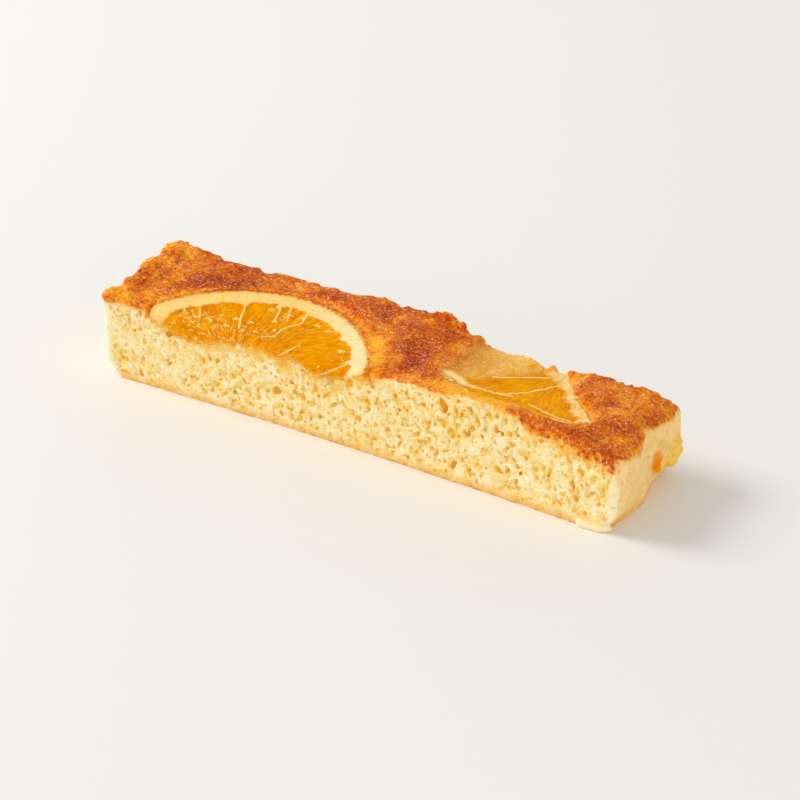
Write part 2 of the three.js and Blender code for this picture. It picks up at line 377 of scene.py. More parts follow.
leftSlice = {
    "core": (-26.0, -22.6), "radius": 30.4, "squash": 1.0, "top": 20.4, "rise": 0.0, "peel": 1.1,
    "bulge": 1.3, "ragged": (0.7, 0.7),
    "fleshEdge": ((-40, 28.6), (10, 27.8), (23, 27.0), (39, 26.2), (59, 25.2), (78, 24.8), (91, 25.4),
                  (106, 24.9), (120, 24.0), (140, 24.4), (157, 24.6), (170, 23.2), (220, 23.0)),
    "lines": (  # membranes: width, then points in x and y
        (0.2, (-44.6, -9.2), (-42.3, -12.6)), (0.22, (-36.6, -2.7), (-34.6, -7.2), (-31.8, -12.1)),
        (0.2, (-29.7, 2.1), (-27.1, -4.5)), (0.18, (-27.4, 2.9), (-24.8, -3.0)),
        (0.2, (-21.9, 1.3), (-21.3, -2.4), (-22.4, -4.7), (-23.3, -7.3), (-22.8, -11.0), (-25.1, -12.5)),
        (0.2, (-15.6, -11.3), (-17.0, -16.5)), (0.22, (-0.9, -12.1), (-3.8, -17.3), (-5.5, -18.8))),
    "notches": (144, 118, 97, 80, 48, 22),  # bearings of the corners between segments
    "dryPatches": (  # x, y, radius, amount
        (-44, -13, 7, 1.0), (-38, -15, 7, 1.0), (-32, -14, 6, 0.95), (-25, -11, 5, 0.8), (-27, -1, 4, 0.6),
        (-17, -15, 4, 0.5), (-20, -5, 4, 0.5), (-9, -3, 3, 0.4), (-4, -13, 4, 0.45), (-12, -17, 5, 0.5)),
    # bright bits: pale bits of the flesh, raised a little, and partly painted highlights
    "brightBitsAndGlints": (  # x, y, size
        (-30.8, -0.4, 1.1), (-26.8, -4.9, 0.8), (-30, 1.3, 0.8), (-25.6, -0.6, 0.8), (-22.3, -0.2, 1.1),
        (-17.5, -1.1, 0.9), (-14, -2.3, 0.9), (-6.1, -8.7, 1.2), (-15, -17.9, 1.3), (-38.6, -9, 0.7),
        (-35, -8.6, 0.9), (-31.1, -8.2, 0.7), (-39.3, -12.4, 0.7), (-35, -12.5, 0.8), (-27.8, -11.3, 0.6),
        (-30.4, -12.4, 0.7), (-43.3, -12.7, 0.7)),
    "underside": ((-60, 18.4), (-52.0, 17.0), (-48.0, 15.3), (-46.4, 14.4), (-41.5, 14.9), (-38.5, 15.3),
                  (-33.7, 16.7), (-29.0, 17.4), (-23.5, 17.8), (-21.0, 17.0), (-15.0, 17.2), (-13.3, 16.9),
                  (-9.0, 15.9), (-7.0, 15.8), (-2.5, 16.6), (0.5, 17.8), (2.5, 18.9), (6, 19.2)),
    "tails": (  # loose ends of the peel: x and y on top, then x and z in front
        ((4.0, -12.6), (4.4, -14.0), (4.6, -15.4), (4.9, 19.4), (5.5, 18.5), (6.3, 17.4)),
        ((-54.9, -14.0), (-55.0, -15.4), (-55.2, 19.0), (-55.8, 17.4))),
    "tailRadius": 0.45, "tailJoint": 0.3, "tailPaint": (0.9, 0.65),
    "cutFace": (1.5, 0.6), "patternFrom": 0.3, "patternRun": (0.88, 0.91),  # the rows slant on the cut face
    "proud": 0.08, "frontRound": 2.0, "seam": (1.0, (1.3, 0.0)), "seamRagged": 0.5,
    "voxel": 0.2, "faces": 150000, "seed": 21, "grid": ((-58.0, -18.0, 13.0), (9.0, 9.0, 22.0)),
}
rightSlice = {
    "core": (39.1, 13.4), "radius": 29.5, "squash": 0.915, "top": 17.2, "rise": 8.2, "peel": 0.75,
    "bulge": 0.0, "ragged": (0.7, 0.5),
    "fleshEdge": ((-180, 28.3), (180, 28.3)),
    "lines": (
        (0.3, (36.8, 10.6), (33.6, 7.6), (30.3, 4.4), (27.5, 2.0)),
        (0.26, (41.0, 8.2), (39.5, 4.3), (37.1, -1.6), (34.2, -4.9), (32.0, -5.9)),
        (1.7, (19.3, -4.0), (22.5, -4.9)), (1.3, (22.5, -4.9), (25.1, -6.3)),
        (0.6, (25.1, -6.3), (29.0, -6.0)), (0.32, (29.0, -6.0), (33.8, -5.5), (36.4, -4.6)),
        (0.24, (41.5, -5.8), (46.0, -7.2), (51.5, -8.4), (56.1, -9.4), (58.4, -8.3))),
    "flare": slice(2, 6),  # which of these lines widen into the flare
    "notches": (), "brightBitsAndGlints": (), "dryPatches": ((50, -3, 5, 0.25), (46, 3, 3, 0.15)),
    "turnUp": ((22, 0.0), (24, 0.3), (26.5, 0.9), (28, 1.9), (29.5, 2.5), (31.5, 2.4), (33.3, 2.1),
               (35.0, 1.7), (36.4, 1.0), (37.6, 0.4), (40, 0.4)),  # x and height along the back
    "turnFrom": (12.5, 15.5), "turnPale": (0.7, (15.0, 15.6), (22, 25)),
    "thickness": 4.2, "thinEnd": (8.0, 15.0), "edgeBearing": -49.5, "edgeBeyondCore": 1.8,
    "edgeBand": (4.3, 2.2), "bandWaves": ((0.5, 0.8), (0.25, 2.3)),
    "corePith": (4.4, 2.4), "coreWaves": (0.5, 5),
    "setBack": 0.05, "cornerRound": 0.5, "backRound": 1.2, "onFace": (0.9, 0.3),
    "seam": (0.8, (1.2, 0.0)), "seamRagged": 0.0,
    "voxel": 0.2, "faces": 120000, "seed": 22, "grid": ((8.0, -16.0, 11.0), (62.0, 18.0, 23.0)),
}
fruit = {  # what both slices share
    "ripple": ((0.22, 23), (0.14, 61)),  # of the flesh's outline: depth, waves round the slice
    "segmentCorner": (1.3, 0.9), "outline": 0.35, "bulgeOver": (46, 18),
    "rowRadius": 17.0, "rowSway": (0.35, 0.45, 3), "cellTable": (64, 256),
    "sacs": (5.0, 1.35), "flecks": (2.4, 0.55),  # length and width of the cells
    "sacShift": 0.1, "fleckShift": (0.3, 0.7), "sacWall": (0.02, 0.45),
    "fleckTone": ((1.0, 0.7), (1.15, 0.5)),  # from and to which tone, and how far dry flesh lowers it
    "fleckSize": (0.6, 0.1), "fleckInside": (0.2, 1.2), "leastDry": 0.06,
    "peelEdge": 0.5, "leanOver": (100, 40), "glandPitch": 1.7, "glandSize": (0.4, 0.16), "glandShare": 0.75,
    "glandAlong": (0.25, 0.5), "glandDeep": (0.65, 0.4),  # least, and what chance adds
    "sunk": 0.42, "sunkOver": 1.4, "sacHigh": 0.14, "sacFloor": 0.1,
    "lineHigh": 0.22, "fleckHigh": 0.12, "bitHigh": 0.2, "bandHigh": 0.25,
    "grainSeed": 40, "grainPitch": 1.1, "grainDepth": 0.1, "wallGrain": 1.5,
    "faceGrain": (0.6, 1.4),  # on bare flesh, and what a film or pith adds
    "rimRound": 0.5, "underHeight": 17.0,
}
film = {  # thin batter that ran over the right slice and dried clear
    "edge": 30.3, "edgeAt": 7.0, "lean": 0.65, "soft": 2.8,  # right edge in x at that y, slant, softness
    "ragged": (1.6, 0.9), "height": 18.0, "evens": 0.9,
    "browned": (28.0, 17.0), "brownedFront": (12.0, 5.0), "leastBrown": 0.4,
}
underNoise = [noiseLattice(25, 2.2), noiseLattice(26, 0.9)]
filmNoise = [noiseLattice(31, 4.0), noiseLattice(32, 1.4)]


def slicePolar(s, x, y):
    dx = x - s["core"][0]
    dy = (y - s["core"][1]) / s["squash"]
    return np.hypot(dx, dy), np.degrees(np.arctan2(dy, dx))


def rimRadius(s, bearing):
    return s["radius"] + s["bulge"] * fade(*fruit["bulgeOver"], bearing)


def slicePlane(s, y):
    return s["top"] + (s["core"][1] - y) * math.tan(math.radians(s["rise"]))


def pastEdge(s, x, y):  # how far past the straight cut of the half slice
    a = math.radians(s["edgeBearing"])
    return (y - s["core"][1]) * math.cos(a) - (x - s["core"][0]) * math.sin(a) - s["edgeBeyondCore"]


def underside(s, x, y):  # ragged; the right slice thins out towards its hidden end
    ragged = noiseOver(underNoise, s["ragged"], x, y, fruit["underHeight"])
    if s is leftSlice:
        return readTable(s["underside"], x) + ragged
    return slicePlane(s, y) - s["thickness"] * fade(*s["thinEnd"], x) + ragged


def filmOver(x, y):  # how much film, and how much of it is browned
    ragged = noiseOver(filmNoise, film["ragged"], x, y, film["height"])
    reach = film["edge"] + film["lean"] * (y - film["edgeAt"]) + ragged
    cover = fade(reach + film["soft"], reach - film["soft"], x)
    towardsFront = blend(film["leastBrown"], 1.0, fade(*film["brownedFront"], y))
    return cover, fade(*film["browned"], x + ragged) * towardsFront


def lineDistance(x, y, points):
    best = np.full(np.broadcast(x, y).shape, farAway)
    for (ax, ay), (bx, by) in zip(points[:-1], points[1:]):
        dx = bx - ax
        dy = by - ay
        t = np.clip(((x - ax) * dx + (y - ay) * dy) / (dx ** 2 + dy ** 2), 0, 1)
        best = np.minimum(best, np.hypot(x - ax - t * dx, y - ay - t * dy))
    return best


def tailDistance(x, y, z):  # to the loose ends of the peel, which lie over the front edge
    best = farAway
    for tail in leftSlice["tails"]:
        points = [(a, b, one(topMap, a, b)) if b < 0 else (a, one(frontMap, a, b), b) for a, b in tail]
        for start, end in zip(points[:-1], points[1:]):
            run = np.subtract(end, start)
            t = sum((p - a) * d for p, a, d in zip((x, y, z), start, run)) / run.dot(run)
            t = np.clip(t, 0, 1)
            gap = sum((p - a - t * d) ** 2 for p, a, d in zip((x, y, z), start, run))
            best = np.minimum(best, np.sqrt(gap))
    return best


def sacCells(u, v, seed):  # jittered cells: how far past a wall and from the middle, and a random tone
    rng = np.random.default_rng(seed)
    rows, columns = fruit["cellTable"]
    jitter = rng.uniform(0.12, 0.88, (rows, columns, 2))
    tones = rng.uniform(0, 1, (rows, columns))
    i = np.floor(u).astype(int)
    j = np.floor(v).astype(int)
    best = np.full(u.shape, farAway)
    second = np.full(u.shape, farAway)
    tone = np.zeros(u.shape)
    for di in (-1, 0, 1):
        for dj in (-1, 0, 1):
            a = (i + di) % rows
            b = (j + dj) % columns
            d = np.hypot(i + di + jitter[a, b, 0] - u, j + dj + jitter[a, b, 1] - v)
            closer = d < best
            second = np.where(closer, best, np.minimum(second, d))
            tone = np.where(closer, tones[a, b], tone)
            best = np.minimum(best, d)
    return second - best, best, tone


def fleshRim(s, r, bearing):  # how far inside the flesh's outline, with rounded corners on the segments
    edge = readTable(s["fleshEdge"], bearing)
    for depth, waves in fruit["ripple"]:
        edge = edge + depth * np.sin(np.radians(bearing * waves))
    notch = np.full(np.shape(r), farAway)
    for corner in s["notches"]:
        turn = np.radians((bearing - corner + 180) % 360 - 180)
        notch = np.minimum(notch, np.where(np.abs(turn) < 1.2, np.abs(r * np.sin(turn)), farAway))
    depth, width = fruit["segmentCorner"]
    return edge - depth * np.exp(-(notch / width) ** 2) - r


def oilGlands(s, bearing, outer):  # a row of dark dots in the peel
    pitch = fruit["glandPitch"]
    arc = np.radians(bearing) * s["radius"] / pitch
    place = np.floor(arc)
    offset = np.sin(place * 12.9898) * 43758.5453  # a scrambled number for each place
    offset = offset - np.floor(offset)
    along, alongMore = fruit["glandAlong"]
    deep, deepMore = fruit["glandDeep"]
    gland = np.hypot((arc - place - along - alongMore * offset) * pitch, deep + deepMore * offset - outer)
    return fade(*fruit["glandSize"], gland) * (offset < fruit["glandShare"])


def paleParts(s, x, y, r, bearing):  # pale band along the straight cut, and the pith at the core
    inward = -pastEdge(s, x, y)
    for depth, waves in s["bandWaves"]:
        inward = inward + depth * np.sin(r * waves)
    depth, waves = s["coreWaves"]
    core = r + depth * np.sin(np.radians(bearing * waves))
    return np.maximum(fade(*s["edgeBand"], inward), fade(*s["corePith"], core))


def sliceLooks(s, x, y):  # relief and masks of a slice seen from above
    r, bearing = slicePolar(s, x, y)
    rim = fleshRim(s, r, bearing)
    flesh = fade(-fruit["outline"], fruit["outline"], rim)
    nothing = np.zeros(np.shape(r))
    membrane = nothing
    for width, *points in s["lines"]:
        membrane = np.maximum(membrane, np.exp(-(lineDistance(x, y, points) / width) ** 2))
    membrane = membrane * flesh
    pale = paleParts(s, x, y, r, bearing) if s is rightSlice else nothing
    depth, perRadius, waves = fruit["rowSway"]
    sway = depth * np.sin(r * perRadius + np.radians(bearing * waves))
    around = np.radians(bearing) * fruit["rowRadius"] + sway
    (sacLong, sacWide), (fleckLong, fleckWide) = fruit["sacs"], fruit["flecks"]
    shifted = r / sacLong + fruit["sacShift"] * np.sin(bearing)
    wall, _, tone = sacCells(shifted, around / sacWide, s["seed"])
    shift, waves = fruit["fleckShift"]
    shifted = r / fleckLong + shift * np.sin(around * waves)
    _, fleckMiddle, fleckTone = sacCells(shifted, around / fleckWide, s["seed"] + 1)
    dry = np.full(np.shape(r), fruit["leastDry"])
    for px, py, radius, amount in s["dryPatches"]:
        dry = np.maximum(dry, amount * softSpot(x, y, px, py, radius))
    # bright bits: partly pale flesh, partly painted highlights
    bright = nothing
    for bit in s["brightBitsAndGlints"]:
        bright = np.maximum(bright, softSpot(x, y, *bit))
    start, end = (level - lower * dry for level, lower in fruit["fleckTone"])
    fleck = fade(start, end, fleckTone) * fade(*fruit["fleckSize"], fleckMiddle)
    fleck = fleck * flesh * fade(*fruit["fleckInside"], rim)
    outer = rimRadius(s, bearing) - r
    peel = fade(s["peel"] + fruit["peelEdge"], s["peel"] - fruit["peelEdge"], outer)
    relief = -fruit["sunk"] * flesh * fade(0.0, fruit["sunkOver"], rim)
    relief = relief + flesh * (fruit["sacHigh"] * fade(*fruit["sacWall"], wall) - fruit["sacFloor"])
    for key, mask in (("lineHigh", membrane), ("fleckHigh", fleck), ("bitHigh", bright), ("bandHigh", pale)):
        relief = relief + fruit[key] * mask
    covered = nothing
    if s is rightSlice:
        covered = filmOver(x, y)[0] * (1 - membrane)
        relief = relief * (1 - film["evens"] * covered)  # the film evens the flesh out
        relief = relief + mapAt(filletLift, x, y)
        relief = relief + fade(*s["turnFrom"], y) * readTable(s["turnUp"], x)  # turned up along the back
    return {"r": r, "bearing": bearing, "around": around, "flesh": flesh, "membrane": membrane,
            "pale": pale * flesh, "tone": tone, "fleck": fleck, "peel": peel,
            "gland": oilGlands(s, bearing, outer), "dry": dry, "bright": bright,
            "film": covered, "relief": relief}


def sliceField(s, axes):
    x, y, z = spread(axes)
    looks = sliceLooks(s, x, y)
    lattice = noiseLattice(s["seed"] + fruit["grainSeed"], fruit["grainPitch"])
    rough = noiseGrid(lattice, axes) * fruit["grainDepth"]
    wall = looks["r"] - rimRadius(s, looks["bearing"]) + rough * fruit["wallGrain"]
    crusted = np.maximum(looks["film"], looks["pale"])
    plain, more = fruit["faceGrain"]
    face = z - (slicePlane(s, y) + looks["relief"]) + rough * (plain + more * crusted)
    field = softMax(wall, face, fruit["rimRound"])
    if s is leftSlice:
        front = mapAt(frontMap, x, z) - s["proud"]
        field = softMax(field, front - y + rough, s["frontRound"])
    else:
        back = mapAt(backMap, x, z) - s["setBack"]
        corner = softMax(y - back + rough, pastEdge(s, x, y), s["cornerRound"])
        field = softMax(field, corner, s["backRound"])
    field = np.maximum(field, underside(s, x, y) - z)
    if s is leftSlice:
        field = -softMax(-field, s["tailRadius"] - tailDistance(x, y, z) - rough, s["tailJoint"])
    return field.astype(np.float32)


def makeSlice(name, s):
    axes = gridAxes(*s["grid"], s["voxel"])
    verts, quads = largestPiece(*netMesh(sliceField(s, axes), axes, s["voxel"]))
    piece = meshPiece(name, verts, quads, s["faces"])
    p = pointsOf(piece)
    x, y, z = p.T
    if s is leftSlice:  # the pattern runs on down the cut face, at a slant
        onCut = fade(*s["cutFace"], y - mapAt(frontMap, x, z))
        drop = np.maximum(s["top"] - s["patternFrom"] - z, 0) * onCut
        looks = sliceLooks(s, x + s["patternRun"][0] * drop, y - s["patternRun"][1] * drop)
        tail = fade(*s["tailPaint"], tailDistance(x, y, z))
        browned = np.zeros(len(p))
    else:
        looks = sliceLooks(s, x, y)
        tail = np.zeros(len(p))
        browned = filmOver(x, y)[1]
        onFace = fade(*s["onFace"], slicePlane(s, y) + looks["relief"] - z)
        looks["film"] = looks["film"] * onFace
        turned = zone(s["turnPale"], y, x) * onFace  # pale edge where it turns up
        looks["pale"] = np.maximum(looks["pale"], turned * looks["flesh"])
    seam = zone(s["seam"], z - underside(s, x, y) + s["seamRagged"] * noiseAt(underNoise[1], p))
    lean = fade(*fruit["leanOver"], looks["bearing"])
    looks.update(tail=tail, seam=seam, filmSpots=browned, lean=lean)
    looks["polar"] = np.stack([looks["r"], looks["around"], z], axis=1) * mm
    for mask in ("flesh", "membrane", "pale", "peel", "gland", "tone", "fleck", "dry", "bright", "film",
                 "tail", "seam", "filmSpots", "lean", "polar"):
        paint(piece, mask, looks[mask])
    return piece


# sponge: the crust round the window and the right end

window = {
    "corner": (2.2, (38, 50), (3, -5)),  # wider towards its front right: by how much, over x and over y
    "leftSide": (44, 26), "filmPast": (1.6, (44, 26), (4, 12)), "flarePast": 1.6, "under": 0.05,
    "climb": (0.2, 0.5),  # rise of the crust away from the window, on its left and on its right
    "shoulder": ((-8, 0.6), (-2, 1.2), (6, 2.2), (16, 2.4)),  # step down to it from the left, over y
    "shoulderRun": (5.0, 2.6, (9, 15)),  # length of that step: steep at the very back only
    "deepest": 1.2, "fillet": 2.2, "filletEnd": (5.0, 1.8), "tuckIn": (1.2, (1.1, 2.2)),
    "lip": (0.8, (0.9, -0.6)), "raise": (4.0, 2.5), "edgeRound": 0.8,
    "besideRim": (0.05, (3.2, 0.4)),  # level with the left slice close to its rim
}
foot = {"line": ((-16, 66.4), (-13.4, 66.7), (-7.6, 67.6), (-3.8, 67.8), (0.8, 67.5), (6.6, 65.6),
                 (10.9, 64.1), (16, 62.6)), "height": 6.5, "fade": 3}  # y and x where the right end stands
# the right end is not quite square: its front corner stands out
endSlant = {"forward": 2.3, "over": (3.0, -13.0), "up": (0.5, 5.0), "straightFrom": 66.2}


def shapeWindow():  # the crust thins out towards the window, and the film runs up its left slope
    x, y = np.meshgrid(topMap["a"], topMap["b"], indexing="ij")
    windowGap["values"] = windowGap["values"] - zone(window["corner"], x, y)
    lower = slicePlane(rightSlice, y) - window["under"]
    leftward = fade(*window["leftSide"], x)
    gap = windowGap["values"] + zone(window["filmPast"], x, y)
    filmGap = dict(topMap, values=gap)
    for _, *points in rightSlice["lines"][rightSlice["flare"]]:  # the flare lies open
        gap = np.minimum(gap, lineDistance(x, y, points) - window["flarePast"])
    climbLeft, climbRight = window["climb"]
    climb = blend(climbRight, climbLeft, leftward)
    shoulder = leftward * readTable(window["shoulder"], y)
    longRun, shortRun, overY = window["shoulderRun"]
    run = blend(longRun, shortRun, fade(*overY, y))
    ceiling = lower + np.maximum(climb * gap, -window["deepest"]) + shoulder * fade(-0.6, run, gap)
    fillet = softMax(lower, ceiling, window["fillet"]) - lower  # no crease between slope and film
    lift = fillet * fade(*window["filletEnd"], gap) - zone(window["tuckIn"], gap)
    filletLift = dict(topMap, values=leftward * lift)
    ceiling = blend(ceiling, lower + fillet - zone(window["lip"], gap), leftward)
    top = topMap["values"]
    top = blend(top, np.maximum(top, ceiling), leftward * fade(*window["raise"], gap))
    top = -softMax(-top, -ceiling, window["edgeRound"])
    rim, bearing = slicePolar(leftSlice, x, y)
    rim = rim - rimRadius(leftSlice, bearing)
    above, overRim = window["besideRim"]
    topMap["values"] = blend(top, np.minimum(top, leftSlice["top"] + above), fade(*overRim, rim))
    return filmGap, filletLift


def shapeRightEnd():  # its foot on the floor, and the front corner that stands forward
    y, z = np.meshgrid(rightMap["a"], rightMap["b"], indexing="ij")
    end = rightMap["values"]
    low = fade(foot["height"], foot["height"] - foot["fade"], z)
    end = blend(end, np.maximum(end, readTable(foot["line"], y)), low)
    end = end + endSlant["forward"] * fade(*endSlant["over"], y) * fade(*endSlant["up"], z)
    rightMap["values"] = blurred(end, 1)
    for sideMap in (topMap, frontMap):  # both run on straight to that corner
        past = sideMap["a"] > endSlant["straightFrom"]
        last = sideMap["values"][~past][-1]
        share = fade(*endSlant["over"], sideMap["b"]) if sideMap is topMap else 1.0
        sideMap["values"][past] = blend(sideMap["values"][past], last, share)


filmGap, filletLift = shapeWindow()
shapeRightEnd()

# sponge: crumb, pores and the baked skin

sponge = {
    "voxel": 0.28, "faces": 195000, "seed": 7, "room": ((2.0, 2.0, 1.0), (4.5, 2.0, 2.0)), "below": 0.7,
    "edgeRound": 0.6, "leftCorner": 1.2, "rightCorner": 1.8, "backCorner": 1.4,
    "leftShoulder": 0.8, "rightShoulder": 1.2,
    "crustDeep": (-1.6, -0.3), "crumbDeep": (-1.2, -0.2), "skinLeft": (-1.0, -3.0), "skinRight": (-0.4, -1.6),
    "crustGrain": (170, ((3.4, 0.10), (1.6, 0.13), (0.8, 0.12))),  # seed, then pitch and depth
    "crumbGrain": (170, ((2.2, 0.10), (0.95, 0.14))),
    "skinGrain": (163, ((3.6, 0.12), (1.5, 0.07))),
    "warp": (55, 0.9), "ballReach": 1.35, "ballRough": 0.4, "ballRound": 0.6, "holeRound": 0.2,
    "lap": (0.45, 0.3), "lapWaves": (1.1, 0.37),  # how far the crust laps over the left slice's rim
    "bite": 0.15, "cover": 0.3,  # the fruit reaches a hair into the crumb, so no gap shows
}
pits = {
    "seed": 140, "grain": ((0.72, 0.62), (1.25, 0.55), (2.4, 0.25)),  # pitch and weight
    "level": 0.24, "deep": 1.4, "slope": 0.85, "offCut": 2.0, "underCrust": 0.3, "soft": 0.15,
    "nearBase": ((0.2, (3.2, 0.8)), (0.8, (1.6, 0.5))),  # fewer: how much, over height
    "nearFruit": (0.8, (1.6, 0.4)), "fruitSwell": (0.16, (1.4, 0.3)),  # the crumb closes up at the fruit
}
pores = {
    "cut": ((42, 0.6, 1.2), (300, 0.36, 0.62)), "ends": ((80, 0.3, 0.55),), "crust": ((120, 0.3, 0.5),),
    "named": ((31.9, 19.2, 1.3), (36.7, 19.6, 1.5), (41.1, 19.4, 1.1), (24.9, 14.1, 1.2), (21.0, 8.6, 1.1),
              (60.7, 13.2, 1.3), (65.4, 6.7, 1.1), (59.6, 6.1, 1.1), (50.7, 10.8, 1.1), (41.2, 12.3, 1.1),
              (13.1, 7.2, 1.0), (-9.1, 12.2, 1.0), (-24.9, 5.4, 0.9),
              (-0.2, 16.4, 1.3)),  # in front: x, z, radius
    "coarse": (0.35, 10), "cutRoom": (2, 3), "cutHeights": (2.2, 19.0), "cutDepth": 0.2,
    "endRoom": 1, "endHeights": (0.8, 15.0), "crustRoom": (1, 0.5), "outOfCrust": 0.15,
    "manySmall": 1.4, "shape": ((0.6, 1.2), (0.8, 1.2), (0.7, 1.6)), "lean": 0.9,
    "twin": 0.5, "twinShift": 0.8, "twinSize": (0.5, 0.85),
    "namedShape": np.array([0.85, 0.85, 1.0]), "namedLean": 0.3, "namedOut": 0.3,
}
# knobs along the left edge: count, radii, how far in
edgeKnobs = {"coarse": (30, 1.0, 2.0, 4.5), "fine": (40, 0.4, 0.75, 6.0), "seed": 5, "room": (1.6, 1.2),
             "offEdge": 0.9, "towardsEdge": 1.3, "overBack": (17, 5), "sunk": 0.35, "feelIn": 0.5,
             "wide": 1.2, "long": (0.8, 1.5), "high": 0.75}
crestShape = np.array([1.1, 0.9, 1.0])
crest = ((4.9, 15.0, 22.0, 1.0), (6.6, 15.0, 22.2, 1.3), (8.7, 15.0, 21.7, 1.2), (10.6, 15.0, 20.8, 1.3),
         (15.9, 14.8, 18.6, 1.1), (52.6, 14.6, 18.2, 1.1), (55.4, 14.6, 18.1, 0.9), (-52, 15.2, 21.0, 0.8),
         (-10.5, 15.2, 21.0, 0.9))  # lumps on the back edge: x, y, z, radius
flake = {"count": 12, "along": (60.2, 67.6), "radius": (0.6, 1.0), "up": 0.75, "corner": (64.5, 68),
         "shape": np.array([1.3, 0.7, 0.8]), "feelAt": 1.0, "intoCorner": 0.7, "proud": 0.1,
         "paint": (1.0, (58.5, 60.5), (69.0, 67.5), (2.1, 1.4), (0.25, -0.05)),  # over x, x, z and depth
         "paintCorner": (1.2, (65, 68))}
endLip = {"count": 40, "radius": (0.6, 1.4), "along": (6.0, 15.4), "top": 10.0, "bottom": (5.2, 3.4),
          "shape": np.array([1.0, 1.1, 0.9]), "sunk": 0.2,
          "patch": (12.6, 7.0, 6.8, 4.2),  # y, z, half its width and height
          "ragged": (0.25, 0.15), "soft": (1.1, 0.7), "uneven": (0.75, 0.25), "onEnd": (1.6, 0.6)}
drip = {"place": (67.8, 4.9, 7.9), "radii": (1.0, 1.2, 2.5), "paint": (1.5, 2.8), "soft": (1.3, 0.55),
        "ragged": 0.3}


def stamp(volume, centre, radii, lean=0.0, hole=False):  # adds a rough ball to the field, or cuts it out
    reach = max(radii) * sponge["ballReach"]
    box = []
    for coords, middle in zip(volume["axes"], centre):
        first = np.searchsorted(coords, middle - reach)
        last = np.searchsorted(coords, middle + reach)
        if last - first < 2:
            return
        box.append(slice(first, last))
    box = tuple(box)
    dx, dy, dz = spread([coords[k] - middle for coords, k, middle in zip(volume["axes"], box, centre)])
    c, s = math.cos(lean), math.sin(lean)
    along = dx * c + dz * s
    up = dz * c - dx * s
    q = np.sqrt((along / radii[0]) ** 2 + (dy / radii[1]) ** 2 + (up / radii[2]) ** 2)
    ball = (q - 1.0) * min(radii) + volume["warp"][box] * min(radii) * sponge["ballRough"]
    part = volume["field"][box]
    if hole:
        volume["field"][box] = softMax(part, -ball, sponge["holeRound"])
    else:
        volume["field"][box] = -softMax(-part, -ball, sponge["ballRound"])


def openPores(volume, spot, kinds, rng):
    for count, small, large in kinds:
        for _ in range(count):
            place = spot(rng)
            radius = small * (large / small) ** rng.uniform() ** pores["manySmall"]
            radii = radius * np.array([rng.uniform(*ends) for ends in pores["shape"]])
            stamp(volume, place, radii, rng.uniform(-pores["lean"], pores["lean"]), hole=True)
            if rng.uniform() < pores["twin"]:
                shift = rng.normal(0, radius * pores["twinShift"], 3)
                stamp(volume, place + shift, radii * rng.uniform(*pores["twinSize"]), hole=True)


def pastSides(x, y, z):  # how far past the top, front, back, left and right, below zero inside
    return (z - mapAt(topMap, x, y), mapAt(frontMap, x, z) - y, y - mapAt(backMap, x, z),
            mapAt(leftMap, y, z) - x, x - mapAt(rightMap, y, z))


def outerForm(top, front, back, left, right):  # the five sides joined with their roundings
    cut = np.maximum(front, back)
    form = softMax(top, cut, sponge["edgeRound"])
    for a, b, key in ((front, right, "rightCorner"), (back, right, "backCorner"), (cut, left, "leftCorner"),
                      (top, left, "leftShoulder"), (top, right, "rightShoulder")):
        form = np.maximum(form, roundMax(a, b, sponge[key]))
    return form


def spongeField(axes):  # the outer form with its grain and the pits of the crumb
    x, y, z = spread(axes)
    top, front, back, left, right = pastSides(x, y, z)
    cut = np.maximum(front, back)
    field = outerForm(top, front, back, left, right)
    field = np.maximum(field, -z - sponge["below"])  # flattened on the floor later
    onTop = fade(*sponge["crustDeep"], top)
    onCut = fade(*sponge["crumbDeep"], cut) * (1 - onTop)
    onCut = onCut * fade(*sponge["skinLeft"], left) * fade(*sponge["skinRight"], right)
    for key, weight in (("crustGrain", onTop), ("crumbGrain", onCut), ("skinGrain", 1 - onTop - onCut)):
        seed, layers = sponge[key]
        for k, (pitch, depth) in enumerate(layers):
            field = field + weight * noiseGrid(noiseLattice(seed + k, pitch), axes) * depth
    hollow = -pits["level"]
    for k, (pitch, weight) in enumerate(pits["grain"]):
        hollow = hollow + weight * noiseGrid(noiseLattice(pits["seed"] + k, pitch), axes)
    hollow = np.minimum(hollow * pits["slope"], cut + pits["deep"])
    hollow = hollow - pits["offCut"] * (1 - onCut) - pits["underCrust"] * onTop
    for spec in pits["nearBase"]:
        hollow = hollow - zone(spec, z)
    outside = np.maximum(slicePolar(leftSlice, x, y)[0] - leftSlice["radius"], 0)
    seam = np.abs(underside(leftSlice, x, y) - z) + outside
    hollow = hollow - zone(pits["nearFruit"], seam)
    field = field - zone(pits["fruitSwell"], seam) * onCut
    return softMax(field, np.where(cut > -pits["deep"], hollow, -farAway), pits["soft"]).astype(np.float32)


